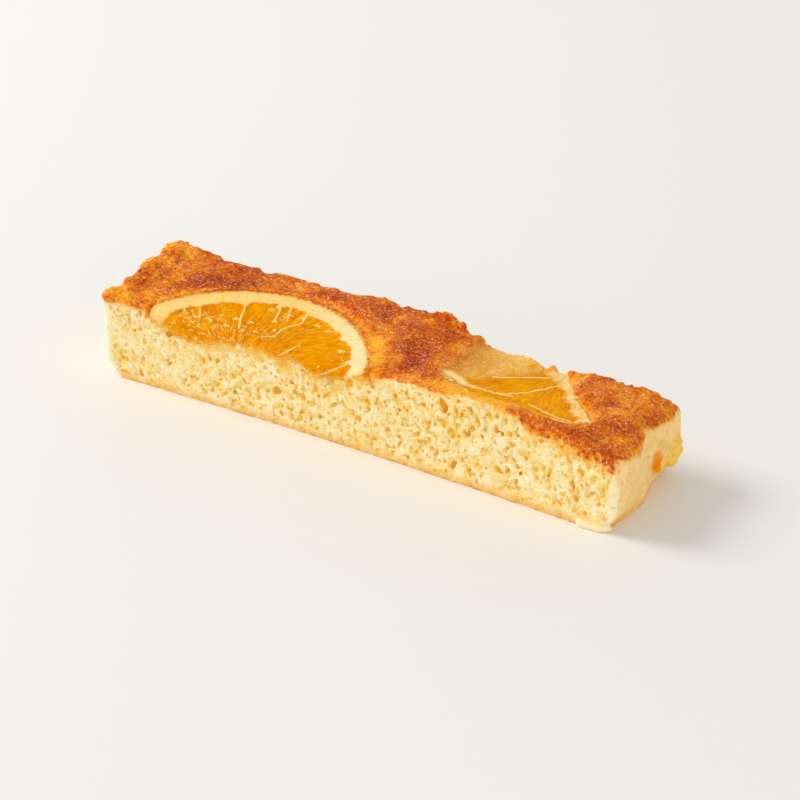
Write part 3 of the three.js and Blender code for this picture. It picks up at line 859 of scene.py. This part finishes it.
def addLumps(volume):  # knobs on the edges, the lip of the right end and the flake at its foot
    rng = np.random.default_rng(edgeKnobs["seed"])
    for count, small, large, inward in (edgeKnobs["coarse"], edgeKnobs["fine"]):
        for _ in range(count):
            y = rng.uniform(lowBox[1] + edgeKnobs["room"][0], highBox[1] - edgeKnobs["room"][1])
            inside = inward * rng.uniform() ** edgeKnobs["towardsEdge"] * fade(*edgeKnobs["overBack"], y)
            x = lowBox[0] + edgeKnobs["offEdge"] * small + inside
            r = rng.uniform(small, large)
            z = one(topMap, x + edgeKnobs["feelIn"], y) - r * edgeKnobs["sunk"]
            long = rng.uniform(*edgeKnobs["long"])
            stamp(volume, (x, y, z), r * np.array([edgeKnobs["wide"], long, edgeKnobs["high"]]))
    for x, y, z, r in crest:
        stamp(volume, (x, y, z), r * crestShape)
    for _ in range(endLip["count"]):
        y = rng.uniform(*endLip["along"])
        z = blend(np.interp(y, endLip["along"], endLip["bottom"]), endLip["top"], rng.uniform())
        r = rng.uniform(*endLip["radius"])
        stamp(volume, (one(rightMap, y, z) - r * endLip["sunk"], y, z), r * endLip["shape"])
    for _ in range(flake["count"]):
        x = rng.uniform(*flake["along"])
        r = rng.uniform(*flake["radius"])
        corner = sponge["rightCorner"] * fade(*flake["corner"], x) * flake["intoCorner"]
        y = one(frontMap, x, flake["feelAt"]) + corner - flake["proud"]
        stamp(volume, (x, y, flake["up"]), r * flake["shape"])


def faceSpot(sideMap, rng):
    low = lowBox[0] + pores["cutRoom"][0]
    high = highBox[0] - pores["cutRoom"][1]
    x = rng.uniform(low, high)
    share, coarseFrom = pores["coarse"]
    if rng.uniform() < share:
        x = rng.uniform(coarseFrom, high)  # coarser towards the right end
    z = rng.uniform(*pores["cutHeights"])
    return np.array([x, one(sideMap, x, z) + rng.normal(0, pores["cutDepth"]), z])


def endSpot(rng):
    sideMap = (leftMap, rightMap)[rng.integers(2)]
    y = rng.uniform(lowBox[1] + pores["endRoom"], highBox[1] - pores["endRoom"])
    z = rng.uniform(*pores["endHeights"])
    return np.array([one(sideMap, y, z), y, z])


def crustSpot(rng):
    roomX, roomY = pores["crustRoom"]
    x = rng.uniform(lowBox[0] + roomX, highBox[0] - roomX)
    y = rng.uniform(lowBox[1] + roomY, highBox[1] - roomY)
    return np.array([x, y, one(topMap, x, y) + pores["outOfCrust"]])


def cutPores(volume):
    for x, z, radius in pores["named"]:
        place = (x, one(frontMap, x, z) - pores["namedOut"] * radius, z)
        stamp(volume, place, radius * pores["namedShape"], pores["namedLean"], hole=True)
    rng = np.random.default_rng(sponge["seed"])
    for sideMap in (frontMap, backMap):
        openPores(volume, partial(faceSpot, sideMap), pores["cut"], rng)
    openPores(volume, endSpot, pores["ends"], rng)
    openPores(volume, crustSpot, pores["crust"], rng)


def cutSeats(field, axes):  # room for the slices
    x, y, z = spread(axes)
    bite = sponge["bite"]
    r, bearing = slicePolar(leftSlice, x, y)
    (least, sway), (quick, slow) = sponge["lap"], sponge["lapWaves"]
    lap = least + sway * np.sin(bearing * quick) * np.sin(bearing * slow)
    seat = np.maximum(r - rimRadius(leftSlice, bearing) + lap, underside(leftSlice, x, y) + bite - z)
    field = np.maximum(field, -seat)
    r, _ = slicePolar(rightSlice, x, y)
    seat = np.maximum(r - (rightSlice["radius"] - bite), pastEdge(rightSlice, x, y) + bite)
    seat = np.maximum(seat, underside(rightSlice, x, y) + bite - z)
    seat = np.maximum(seat, z - slicePlane(rightSlice, y) - mapAt(filletLift, x, y) + sponge["cover"])
    return np.maximum(field, -seat).astype(np.float32)


def makeSponge(name):
    axes = gridAxes(lowBox - sponge["room"][0], highBox + sponge["room"][1], sponge["voxel"])
    volume = {"axes": axes, "field": spongeField(axes)}
    volume["warp"] = noiseGrid(noiseLattice(*sponge["warp"]), axes)
    print("sponge field", volume["field"].shape)
    addLumps(volume)
    cutPores(volume)
    stamp(volume, drip["place"], np.array(drip["radii"]))
    verts, quads = largestPiece(*netMesh(cutSeats(volume["field"], axes), axes, sponge["voxel"]))
    verts[:, 2] = np.maximum(verts[:, 2], 0.0)
    piece = meshPiece(name, verts, quads, sponge["faces"])
    for mask, values in spongeMasks(pointsOf(piece)).items():
        paint(piece, mask, values)
    return piece


toast = {
    "spots": (  # darker and lighter patches of the crust: x, y, radius, amount
        (8, 0, 5, 0.2), (3, 6, 4, 0.1), (14, -6, 5.5, 0.44), (2, 14, 6, 0.06), (-10, 13.5, 7, 0.08),
        (-22, 11, 7, -0.06), (-34, 8, 7, 0.12), (-46, 5, 7, 0.12), (2.5, -8, 4, -0.3), (-1, -1.5, 3.5, -0.26),
        (19, -3, 3, -0.3), (10.5, 14.5, 2.5, -0.3), (6, 15.8, 1.6, -0.25), (-68, 0, 6, -0.4),
        (-66, 12, 6, -0.34), (-67, -13, 6, -0.4), (-60, -13, 6, -0.2), (55, 8, 7, 0.06), (50, 11, 5, 0.08),
        (61, 3, 4.5, -0.24), (51, -11, 4.5, -0.14), (61, -12, 4, -0.04), (30, -14, 9, -0.42),
        (42, -12, 5, -0.26), (21, -11, 3.5, -0.3)),
    "level": 0.54, "variation": 0.4, "mix": (0.5, 0.65, 0.35),  # of the wide, the middle and the fine noise
    "reach": 1.1, "reachSoft": 0.3, "reachRagged": 0.5, "endRagged": (0.35, 0.25), "slopeRagged": (1.6, 0.8),
    "overEnd": ((-16, 0.9), (-12, 1.8), (-8, 3.4), (-5, 4.4), (-2.7, 3.0), (0, 1.4), (3, 0.9), (7, 1.4),
                (10, 2.6), (13, 1.4), (16, 0.8)),  # y, how far the crust reaches down the right end
    "nearWindow": (7.0, 1.0, 0.25), "besideBand": (2.2, 0.0, 0.3),  # paler: from, to, by how much
    "windowLeft": (52, 42), "atEnd": (3.0, 0.8), "turnsPale": (0.45, 0.2, (0.3, 1.4)),
    "besideRim": (0.3, 0.8, (1.2, 3.2), (75, 40)),  # paler by, how far out, widths, over the bearing
    "drape": ((40, 50), (-1, -10), (2.0, 6.0)), "drapeBy": (0.6, 1.0, 0.7),
    "shortCorner": (0.6, (8, 3), (-8, -13)),
    "filmSlope": (0.8, (4.0, -0.5), (40, 30), (-6, 0)),  # film up the slope: amount, over gap, x and y
}
glow = {"level": 0.3, "uneven": (0.3, 0.25), "reach": 1.3, "deeper": 2.2, "full": 0.2,
        "patches": ((6.5, 3.6, 0.9), (58, 9, 0.6), (32, 12, 0.5), (-60, 5, 0.3))}  # x, width, amount
soak = {  # over the distance from the slice's rim, then the depth below it or the height
    "under": (1.0, (1.0, -2.0), (4.5, 0.5)), "atLeft": 0.6, "overLeft": (-30, -12),
    "juice": (1.0, (1.0, -1.0), (1.6, 0.1)), "right": (1.0, (2, -1), (15, 20)), "rightShare": 0.6,
    "ragged": (1.6, 1.5, 0.9),  # under the left slice, at the right one, and of the juice
}
# the pale left and right edges are painted light: strips of the front face beside both ends made paler where
# light falls brightly
skin = {"paintedLitLeft": (1.0, (3.0, 0.3), (2.0, 0.4)), "paintedLitRight": (0.8, (2.8, 1.0), (1.8, 0.4), (14, 11)),
        # the pore depths set where the painted shade of the pits comes in
        "endDeep": (1.2, 0.4), "poreShadeDeep": (0.12, 0.85), "baseHigh": (2.8, 0.7, 0.2), "floorGap": 0.4}
toastNoise = [noiseLattice(71, 9.0), noiseLattice(72, 3.5), noiseLattice(73, 1.3)]


def crustMasks(x, y, dTop, dRight, rim, bearing, wide, mid, fine):
    level = toast["level"] + toast["variation"] * sum(k * n for k, n in zip(toast["mix"], (wide, mid, fine)))
    for *place, amount in toast["spots"]:
        level = level + amount * softSpot(x, y, *place)
    gap = mapAt(windowGap, x, y)
    leftward = fade(*toast["windowLeft"], x)
    for key, share in (("nearWindow", leftward), ("besideBand", 1 - leftward)):
        far, close, amount = toast[key]
        level = level - amount * share * fade(far, close, gap)
    amount, middle, widths, overBearing = toast["besideRim"]
    level = level - amount * fade(blend(*widths, fade(*overBearing, bearing)), 0.0, np.abs(rim - middle))
    least, byMid, byFine = toast["drapeBy"]
    drape = zone((least + byMid * mid + byFine * fine, *toast["drape"]), x, y, dRight)
    ragged = toast["reachRagged"]
    reach = toast["reach"] * (1.0 + ragged * wide + ragged * mid) + drape
    reach = reach * (1.0 - zone(toast["shortCorner"], dRight, y))
    atEnd = fade(*toast["atEnd"], dRight)
    byMid, byFine = toast["endRagged"]
    reach = blend(reach, readTable(toast["overEnd"], y) * (1.0 + byMid * mid + byFine * fine), atEnd)
    paler, lessAtEnd, over = toast["turnsPale"]
    level = level - (paler - lessAtEnd * atEnd) * fade(*over, dTop)  # paler as it turns over the edge
    byMid, byFine = toast["slopeRagged"]
    slope = zone(toast["filmSlope"], mapAt(filmGap, x, y) + byMid * mid + byFine * fine, x, y)
    crust = fade(reach, reach * toast["reachSoft"], dTop)
    return {"crust": crust, "toast": np.clip(level, 0, 1), "film": slope}


def glowMask(x, dTop, wide, mid):  # golden crumb close under the crust
    byWide, byMid = glow["uneven"]
    amount = glow["level"] + byWide * wide
    for middle, width, extra in glow["patches"]:
        amount = amount + extra * np.exp(-((x - middle) / width) ** 2)
    amount = np.clip(amount + byMid * mid, 0, 1)
    return amount * fade(glow["reach"] + glow["deeper"] * amount, glow["full"], dTop)


def endMasks(x, y, z, dFront, dRight, mid, fine):  # lip, drip and flake of the right end
    onEnd = fade(*endLip["onEnd"], dRight)
    lipY, lipZ, lipWide, lipHigh = endLip["patch"]
    byMid, byFine = endLip["ragged"]
    lip = np.hypot((y - lipY) / lipWide, (z - lipZ) / lipHigh) + byMid * mid + byFine * fine
    least, more = endLip["uneven"]
    lip = fade(*endLip["soft"], lip) * onEnd * (least + more * mid)
    _, dripY, dripZ = drip["place"]
    dripWide, dripHigh = drip["paint"]
    wet = np.hypot((y - dripY) / dripWide, (z - dripZ) / dripHigh) + drip["ragged"] * fine
    wet = fade(*drip["soft"], wet) * onEnd
    onFlake = zone(flake["paint"], x, x, z, dFront - zone(flake["paintCorner"], x))
    return {"lip": np.clip(lip, 0, 1), "drip": wet, "flake": onFlake}


def soakMasks(x, y, z, rim, wide, mid):  # where the fruit wetted the crumb below it
    below = underside(leftSlice, x, y) - z
    byUnder, byRight, byJuice = soak["ragged"]
    under = zone(soak["under"], rim, below + byUnder * mid + wide)
    under = under * blend(soak["atLeft"], 1.0, fade(*soak["overLeft"], x))
    r, _ = slicePolar(rightSlice, x, y)
    right = zone(soak["right"], r - rightSlice["radius"], z + byRight * mid) * soak["rightShare"]
    juice = zone(soak["juice"], rim, below + byJuice * mid)
    return {"soak": np.clip(np.maximum(under, right), 0, 1), "juice": juice}


def spongeMasks(p):
    x, y, z = p.T
    sides = pastSides(x, y, z)
    dTop, dFront, _, dLeft, dRight = (-side for side in sides)  # depths below the sides
    wide, mid, fine = (noiseAt(lattice, p) for lattice in toastNoise)
    rim, bearing = slicePolar(leftSlice, x, y)
    rim = rim - rimRadius(leftSlice, bearing)
    inside = np.minimum(-outerForm(*sides), z + skin["floorGap"])
    # painted light: paler strips at the front's left and right ends, where the light falls strongly
    paintedLitLeft = zone(skin["paintedLitLeft"], dLeft, dFront)
    paintedLitRight = zone(skin["paintedLitRight"], dRight, dFront, z)
    baseTop, ragged, baseFull = skin["baseHigh"]
    return {
        # painted shade: the crumb turns darker golden the deeper it lies below the outer form
        "poreShade": fade(*skin["poreShadeDeep"], inside), "skin": fade(*skin["endDeep"], dRight),
        "paintedLitEdge": np.maximum(paintedLitLeft, paintedLitRight), "base": fade(baseTop + ragged * mid, baseFull, z),
        "glow": glowMask(x, dTop, wide, mid),
        **crustMasks(x, y, dTop, dRight, rim, bearing, wide, mid, fine),
        **endMasks(x, y, z, dFront, dRight, mid, fine), **soakMasks(x, y, z, rim, wide, mid),
    }


# nodes for the materials

def shade(name, values):
    material = bpy.data.materials.new(name)
    material.use_nodes = True
    tree = material.node_tree
    shader = tree.nodes["Principled BSDF"]
    for socket, value in values.items():
        shader.inputs[socket].default_value = value
    return material, tree, shader


def srgb(r, g, b):  # screen colour to light
    channels = (r / 255, g / 255, b / 255)
    return tuple(c / 12.92 if c <= 0.04045 else ((c + 0.055) / 1.055) ** 2.4 for c in channels) + (1.0,)


def addNode(kind, inputs, **settings):  # joins the tree of the sockets it is given; other inputs are set
    sockets = {key: value for key, value in inputs.items() if isinstance(value, bpy.types.NodeSocket)}
    tree = next(iter(sockets.values())).id_data
    node = tree.nodes.new("ShaderNode" + kind)
    for key, value in settings.items():
        setattr(node, key, value)
    for key, value in inputs.items():
        if key in sockets:
            tree.links.new(value, node.inputs[key])
        else:
            node.inputs[key].default_value = value
    return node


def readMask(tree, name, output="Fac"):
    node = tree.nodes.new("ShaderNodeAttribute")
    node.attribute_name = name
    return node.outputs[output]


def placeIn(tree):
    return tree.nodes.new("ShaderNodeTexCoord").outputs["Object"]


def squeezed(where, stretch):
    return addNode("Mapping", {"Vector": where, "Scale": stretch}).outputs["Vector"]


def grain(where, scale, detail=2.0, roughness=0.5):
    inputs = {"Vector": where, "Scale": scale, "Detail": detail, "Roughness": roughness}
    return addNode("TexNoise", inputs).outputs["Fac"]


def cells(where, feature, stretch):
    return addNode("TexVoronoi", {"Vector": squeezed(where, stretch), "Scale": 1.0}, feature=feature).outputs


def maths(kind, a, b):
    return addNode("Math", {0: a, 1: b}, operation=kind).outputs["Value"]


plus = partial(maths, "ADD")
minus = partial(maths, "SUBTRACT")
times = partial(maths, "MULTIPLY")


def remap(value, fromLow, fromHigh, toLow=0.0, toHigh=1.0):
    inputs = {"Value": value, "From Min": fromLow, "From Max": fromHigh, "To Min": toLow, "To Max": toHigh}
    return addNode("MapRange", inputs).outputs["Result"]


def mixColour(factor, a, b):
    a, b = (srgb(*colour) if isinstance(colour, tuple) else colour for colour in (a, b))
    return addNode("Mix", {"Factor": factor, 6: a, 7: b}, data_type="RGBA", clamp_factor=True).outputs[2]


def tint(colour, mask, noise, ends, over):  # a colour over another, where a mask and a noise let it
    return mixColour(times(mask, remap(noise, *ends)), colour, over)


def ramp(value, stops):
    node = addNode("ValToRGB", {"Fac": value})
    elements = node.color_ramp.elements
    while len(elements) < len(stops):
        elements.new(0.5)
    for element, (position, colour) in zip(elements, stops):
        element.position = position
        element.color = srgb(*colour)
    return node.outputs["Color"]


def finishShader(shader, colour, rough, height, distance, strength):
    normal = addNode("Bump", {"Height": height, "Distance": distance, "Strength": strength}).outputs["Normal"]
    for key, value in (("Base Color", colour), ("Roughness", rough), ("Normal", normal)):
        value.id_data.links.new(value, shader.inputs[key])


filmGrain = {"mottle": (2400.0, 3.0, 0.7), "patches": (420.0, 2.0, 0.6), "cover": 0.85,
             "mottleOver": (0.38, 0.62), "goldOver": (0.48, 0.68, 0.0, 0.75)}


def driedFilm(where, looks):  # mottled, with golden patches
    mottle = grain(where, *filmGrain["mottle"])
    colour = mixColour(remap(mottle, *filmGrain["mottleOver"]), looks["film"], looks["filmDeep"])
    patches = grain(where, *filmGrain["patches"])
    return mottle, mixColour(remap(patches, *filmGrain["goldOver"]), colour, looks["filmGold"])


# colours are screen values; grains give scale per metre, detail and roughness; what a noise or a mask does
# stands as from and to which value of it, then how much at either end
crumbLooks = {
    "shader": {"Subsurface Weight": 0.4, "Subsurface Scale": 0.0009, "Subsurface Radius": (1.0, 0.85, 0.65),
               "Specular IOR Level": 0.02, "IOR": 1.25},
    "blotch": (260.0, 3.0), "fleck": (1100.0, 3.0, 0.65), "speck": (2300.0, 2.0, 0.6),
    "dots": (2300.0, 1.0, 0.5), "poreCells": (640.0, 640.0, 560.0),
    "depthBy": {"blotch": (0.3, 0.7, 0.0, 0.36), "fleck": (0.3, 0.72, -0.2, 0.34),
                "speck": (0.3, 0.7, -0.16, 0.2)},
    "toastBy": {"fleck": (0.25, 0.75, -0.36, 0.36), "speck": (0.3, 0.7, -0.26, 0.26)},
    "poreShadeDepth": 0.6, "smallPoreShade": 0.5,
    "poreSize": (0.2, 0.8, 0.0, 0.27), "poreEdge": (0.0, 0.1, 1.0, 0.0),
    # glints and paintedGlintPatches set where the painted highlights fall on the crust
    "tintOver": (0.3, 0.65), "paintedGlints": (0.58, 0.68), "paintedGlintPatches": (0.36, 0.62, 0.2, 0.85),
    "crustEdge": (0.3, 0.7, -0.3, 0.3), "crustOver": (0.1, 0.9), "glossOver": (0.45, 0.66), "speckBump": 0.6,
    # the golden end of this ramp is painted shade in the pits
    "crumb": ((0.0, (255, 241, 204)), (0.34, (250, 222, 150)), (0.62, (246, 200, 88)), (1.0, (243, 176, 44))),
    "toast": ((0.0, (252, 176, 34)), (0.2, (240, 152, 32)), (0.38, (226, 120, 16)), (0.56, (208, 96, 18)),
              (0.76, (184, 72, 26)), (1.0, (140, 50, 22))),
    "tints": {  # over the crumb: colour, then how strong where the blotches are weak and strong
        "soak": ((250, 196, 66), 0.0, 1.0), "juice": ((246, 172, 34), 0.2, 0.9),
        # the pale edge tint below is painted light, not a colour of the crumb
        "skin": ((244, 198, 122), 0.6, 0.8), "paintedLitEdge": ((255, 243, 212), 0.6, 0.9),
        "base": ((240, 184, 94), 0.6, 0.95), "glow": ((244, 176, 62), 0.4, 1.0),
        "lip": ((250, 202, 56), 0.75, 0.95), "drip": ((236, 144, 10), 1.0, 1.0),
        "flake": ((253, 234, 192), 0.8, 1.0)},
    # the glint colour is a painted highlight: pale specks where light would catch the glossy crust
    "paintedGlint": (252, 204, 154), "film": (252, 192, 100), "filmDeep": (230, 140, 40), "filmGold": (236, 146, 34),
    "crumbRough": 0.8, "crustRough": (0.55, 0.28), "bump": (0.0003, 0.7),
}


def spongeMaterial():
    looks = crumbLooks
    material, tree, shader = shade("baked sponge", looks["shader"])
    mask = partial(readMask, tree)
    where = placeIn(tree)
    noises = {key: grain(where, *looks[key]) for key in ("blotch", "fleck", "speck", "dots")}
    blotch, fleck, speck, dots = noises.values()
    # crumb: white flecks, cream and yellow, with painted shade: darker golden the deeper it lies in a pit,
    # and in the small painted pits
    depth = times(mask("poreShade"), looks["poreShadeDepth"])
    for key, ends in looks["depthBy"].items():
        depth = plus(depth, remap(noises[key], *ends))
    # small painted pits, darkened as painted shade and pressed in by the bump
    poreShade = cells(where, "F1", looks["poreCells"])
    poreSize = remap(poreShade["Color"], *looks["poreSize"])
    smallPores = remap(minus(poreShade["Distance"], poreSize), *looks["poreEdge"])
    depth = plus(depth, times(smallPores, looks["smallPoreShade"]))
    crumb = ramp(depth, looks["crumb"])
    for name, (colour, *amounts) in looks["tints"].items():
        crumb = tint(crumb, mask(name), blotch, (*looks["tintOver"], *amounts), colour)
    # crust: browned in patches, with fine pale painted glints (painted highlights), and the dried film beside
    # the window
    level = mask("toast")
    for key, ends in looks["toastBy"].items():
        level = plus(level, remap(noises[key], *ends))
    browned = ramp(level, looks["toast"])
    # painted highlights: pale dots in patches, standing for glints of light on the crust
    paintedGlints = times(remap(dots, *looks["paintedGlints"]), remap(blotch, *looks["paintedGlintPatches"]))
    browned = mixColour(paintedGlints, browned, looks["paintedGlint"])
    _, batter = driedFilm(where, looks)
    browned = mixColour(times(mask("film"), filmGrain["cover"]), browned, batter)
    edge = plus(mask("crust"), remap(fleck, *looks["crustEdge"]))
    colour = mixColour(remap(edge, *looks["crustOver"]), crumb, browned)
    crustRough = remap(dots, *looks["glossOver"], *looks["crustRough"])
    rough = plus(times(mask("crust"), minus(crustRough, looks["crumbRough"])), looks["crumbRough"])
    poreBump = times(smallPores, minus(1.0, mask("crust")))
    height = minus(plus(fleck, times(speck, looks["speckBump"])), poreBump)
    finishShader(shader, colour, rough, height, *looks["bump"])
    return material


fruitLooks = {
    "shader": {"Subsurface Weight": 0.25, "Subsurface Scale": 0.0008, "Subsurface Radius": (1.0, 0.8, 0.5),
               "Specular IOR Level": 0.02, "IOR": 1.2, "Specular Tint": (1.0, 0.6, 0.08, 1.0)},
    "streak": ((380.0, 1000.0, 400.0), 3.0, 0.55),  # scale along, across and down
    "fine": ((700.0, 2600.0, 700.0), 2.0, 0.6),
    "wallCells": (420.0, 1150.0, 420.0), "bend": (500.0, 2.0), "bendBy": 0.002,
    # the torn noise scatters pale bits that are partly painted glints
    "broken": (800.0, 2.0, 0.6), "tornBitsAndGlints": (1700.0, 3.0, 0.7), "soft": (900.0, 3.0, 0.6),
    "spots": (1500.0, 3.0, 0.6),
    "over": {"streak": (0.3, 0.7, 0.0, 0.55), "fine": (0.3, 0.7, -0.08, 0.12), "fleck": (0.35, 0.6, 0.1, 0.7),
             "line": (0.15, 0.8, 0.0, 0.95), "pale": (0.3, 0.6, 0.55, 1.0), "pithWarm": (0.35, 0.7),
             "pithWhite": (0.35, 0.65, 1.0, 0.5), "peelDeep": (0.35, 0.65), "seam": (0.35, 0.6, 0.2, 0.9),
             "filmSpots": (0.35, 0.6, 0.3, 1.0), "wall": (0.03, 0.13, 1.0, 0.0), "broken": (0.65, 0.76),
             "tornBitsAndGlints": (0.35, 0.65, -0.65, 0.25), "bitsAndGlints": (0.38, 0.5)},
    "toneBy": 0.35, "dryDarker": 0.28, "dryBreaks": 0.2, "wallBy": 0.9, "glandBy": 0.85,
    "fineHigh": 0.5, "rowsHigh": 0.6, "gritHigh": 2.0,
    "flesh": ((0.0, (216, 120, 0)), (0.4, (233, 146, 0)), (0.75, (243, 164, 2)), (1.0, (251, 188, 24))),
    # the wall colour also paints the pale bits and painted highlights
    "fleck": (249, 190, 50), "wall": (254, 223, 126), "line": (255, 224, 150), "pale": (253, 218, 140),
    "pith": (250, 214, 136), "pithWarm": (245, 198, 104), "pithWhite": (254, 236, 180),
    "peel": (244, 176, 84), "peelDeep": (234, 146, 48), "tail": (222, 122, 20), "gland": (164, 76, 8),
    "film": (255, 222, 138), "filmDeep": (240, 168, 58), "filmGold": (243, 170, 40),
    "filmSpots": (206, 108, 28), "seam": (250, 190, 88), "rough": (0.6, 0.3), "bump": (0.0003, 0.5),
}


def wallsBitsAndGlints(mask, where, polar):  # broken cell walls, and pale bits that are partly torn flesh and partly painted highlights
    looks = fruitLooks
    over = looks["over"]
    bend = times(grain(where, *looks["bend"]), looks["bendBy"])  # bends the rows of cells a little
    bent = addNode("VectorMath", {0: polar, 1: bend}, operation="ADD").outputs["Vector"]
    gap = cells(bent, "DISTANCE_TO_EDGE", looks["wallCells"])["Distance"]
    broken = plus(grain(where, *looks["broken"]), times(mask("dry"), looks["dryBreaks"]))
    walls = times(remap(gap, *over["wall"]), remap(broken, *over["broken"]))
    # pale bits, partly painted glints: highlights painted in the wall colour
    bitsAndGlints = plus(mask("bright"), remap(grain(where, *looks["tornBitsAndGlints"]), *over["tornBitsAndGlints"]))
    return maths("MAXIMUM", walls, remap(bitsAndGlints, *over["bitsAndGlints"]))


def sliceMaterial():
    looks = fruitLooks
    over = looks["over"]
    material, tree, shader = shade("baked orange", looks["shader"])
    mask = partial(readMask, tree)
    where = placeIn(tree)
    polar = mask("polar", "Vector")
    streak, fine = (grain(squeezed(polar, looks[key][0]), 1.0, *looks[key][1:]) for key in ("streak", "fine"))
    tone = plus(times(mask("tone"), looks["toneBy"]), remap(streak, *over["streak"]))
    tone = plus(tone, remap(fine, *over["fine"]))
    flesh = ramp(minus(tone, times(mask("dry"), looks["dryDarker"])), looks["flesh"])
    flesh = tint(flesh, mask("fleck"), fine, over["fleck"], looks["fleck"])
    # walls here also carries the pale bits and painted highlights
    walls = wallsBitsAndGlints(mask, where, polar)
    flesh = mixColour(times(walls, looks["wallBy"]), flesh, looks["wall"])
    flesh = mixColour(remap(mask("membrane"), *over["line"]), flesh, looks["line"])
    soft = grain(where, *looks["soft"])
    flesh = tint(flesh, mask("pale"), soft, over["pale"], looks["pale"])
    pith = mixColour(remap(soft, *over["pithWarm"]), looks["pith"], looks["pithWarm"])
    pith = tint(pith, mask("lean"), soft, over["pithWhite"], looks["pithWhite"])
    colour = mixColour(mask("flesh"), pith, flesh)
    peel = mixColour(remap(soft, *over["peelDeep"]), looks["peel"], looks["peelDeep"])
    colour = mixColour(mask("peel"), colour, peel)
    colour = mixColour(mask("tail"), colour, looks["tail"])
    colour = mixColour(times(mask("gland"), looks["glandBy"]), colour, looks["gland"])
    colour = tint(colour, mask("seam"), soft, over["seam"], looks["seam"])
    mottle, batter = driedFilm(where, looks)
    spots = grain(where, *looks["spots"])
    batter = tint(batter, mask("filmSpots"), spots, over["filmSpots"], looks["filmSpots"])
    colour = mixColour(times(mask("film"), filmGrain["cover"]), colour, batter)
    rough = remap(mask("flesh"), 0.0, 1.0, *looks["rough"])
    rows = times(plus(streak, times(fine, looks["fineHigh"])), minus(1.0, mask("film")))
    grit = times(times(mottle, looks["gritHigh"]), mask("film"))
    height = plus(plus(times(rows, looks["rowsHigh"]), grit), walls)
    finishShader(shader, colour, rough, height, *looks["bump"])
    return material


floorLooks = {"size": 3.0, "colour": (0.862, 0.858, 0.845, 1), "roughness": 0.55}


def floorPlane():
    half = floorLooks["size"] / 2
    mesh = bpy.data.meshes.new("floor")
    corners = [(-half, -half, 0), (half, -half, 0), (half, half, 0), (-half, half, 0)]
    mesh.from_pydata(corners, [], [(0, 1, 2, 3)])
    plane = addObject("floor", mesh)
    finish = {"Roughness": floorLooks["roughness"], "Base Color": floorLooks["colour"]}
    mesh.materials.append(shade("pale floor", finish)[0])


# pieces on the frame

spongePiece = makeSponge("sponge_crumb")
spongePiece.data.materials.append(spongeMaterial())
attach(spongePiece, "root")
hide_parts("sponge")

orange = sliceMaterial()
leftPiece = makeSlice("orange_slice_flush", leftSlice)
rightPiece = makeSlice("orange_slice_sunken", rightSlice)
for piece, node in ((leftPiece, "orange_slice_left"), (rightPiece, "orange_slice_right")):
    piece.data.materials.append(orange)
    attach(piece, "root")
    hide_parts(node)
floorPlane()
print("pieces ride on the frame, floor laid")

# light and camera

lights = {
    "sky": {"level": 0.48, "horizon": 1.16, "between": (0.05, 0.8), "colour": (1.0, 0.992, 0.975)},
    "key": {"place": (-0.96, -0.195, 0.81), "size": 0.6, "watts": 9.4, "colour": (1.0, 0.975, 0.935)},
    "fill": {"place": (0.55, -0.4, 0.22), "size": 0.5, "watts": 0.8, "colour": (1.0, 0.94, 0.84)},
    "aim": (0, 0, 0.01),
}
shot = {"azimuth": 33.09, "elevation": 28.83, "distance": 0.8743, "aim": (-0.00264, 0.01018, 0.0),
        "lens": 171.0, "sensor": 36.0, "nearest": 0.05}


def areaLight(name, spec):
    data = bpy.data.lights.new(name, "AREA")
    data.shape = "DISK"
    data.size = spec["size"]
    data.energy = spec["watts"]
    data.color = spec["colour"]
    lamp = addObject(name, data)
    lamp.location = spec["place"]
    lamp.rotation_euler = (Vector(lights["aim"]) - lamp.location).to_track_quat("-Z", "Y").to_euler()


def makeSky():  # a bright room: paler walls low down, a dimmer ceiling
    sky = lights["sky"]
    world = bpy.data.worlds.new("studio")
    bpy.context.scene.world = world
    world.use_nodes = True
    tree = world.node_tree
    split = tree.nodes.new("ShaderNodeSeparateXYZ")
    tree.links.new(tree.nodes.new("ShaderNodeTexCoord").outputs["Generated"], split.inputs["Vector"])
    strength = remap(split.outputs["Z"], *sky["between"], sky["horizon"], sky["level"])
    background = tree.nodes["Background"]
    background.inputs["Color"].default_value = sky["colour"] + (1.0,)
    tree.links.new(strength, background.inputs["Strength"])


def makeCamera():
    data = bpy.data.cameras.new("camera")
    data.lens = shot["lens"]
    data.sensor_width = shot["sensor"]
    data.clip_start = shot["nearest"]
    camera = addObject("camera", data)
    a = math.radians(shot["azimuth"])
    e = math.radians(shot["elevation"])
    away = Vector((math.sin(a) * math.cos(e), -math.cos(a) * math.cos(e), math.sin(e)))
    camera.location = Vector(shot["aim"]) + away * shot["distance"]
    camera.rotation_euler = (-away).to_track_quat("-Z", "Y").to_euler()
    bpy.context.scene.camera = camera


makeSky()
areaLight("key light", lights["key"])
areaLight("fill light", lights["fill"])
makeCamera()
bpy.context.scene.view_settings.view_transform = "Standard"
print("light and camera set")
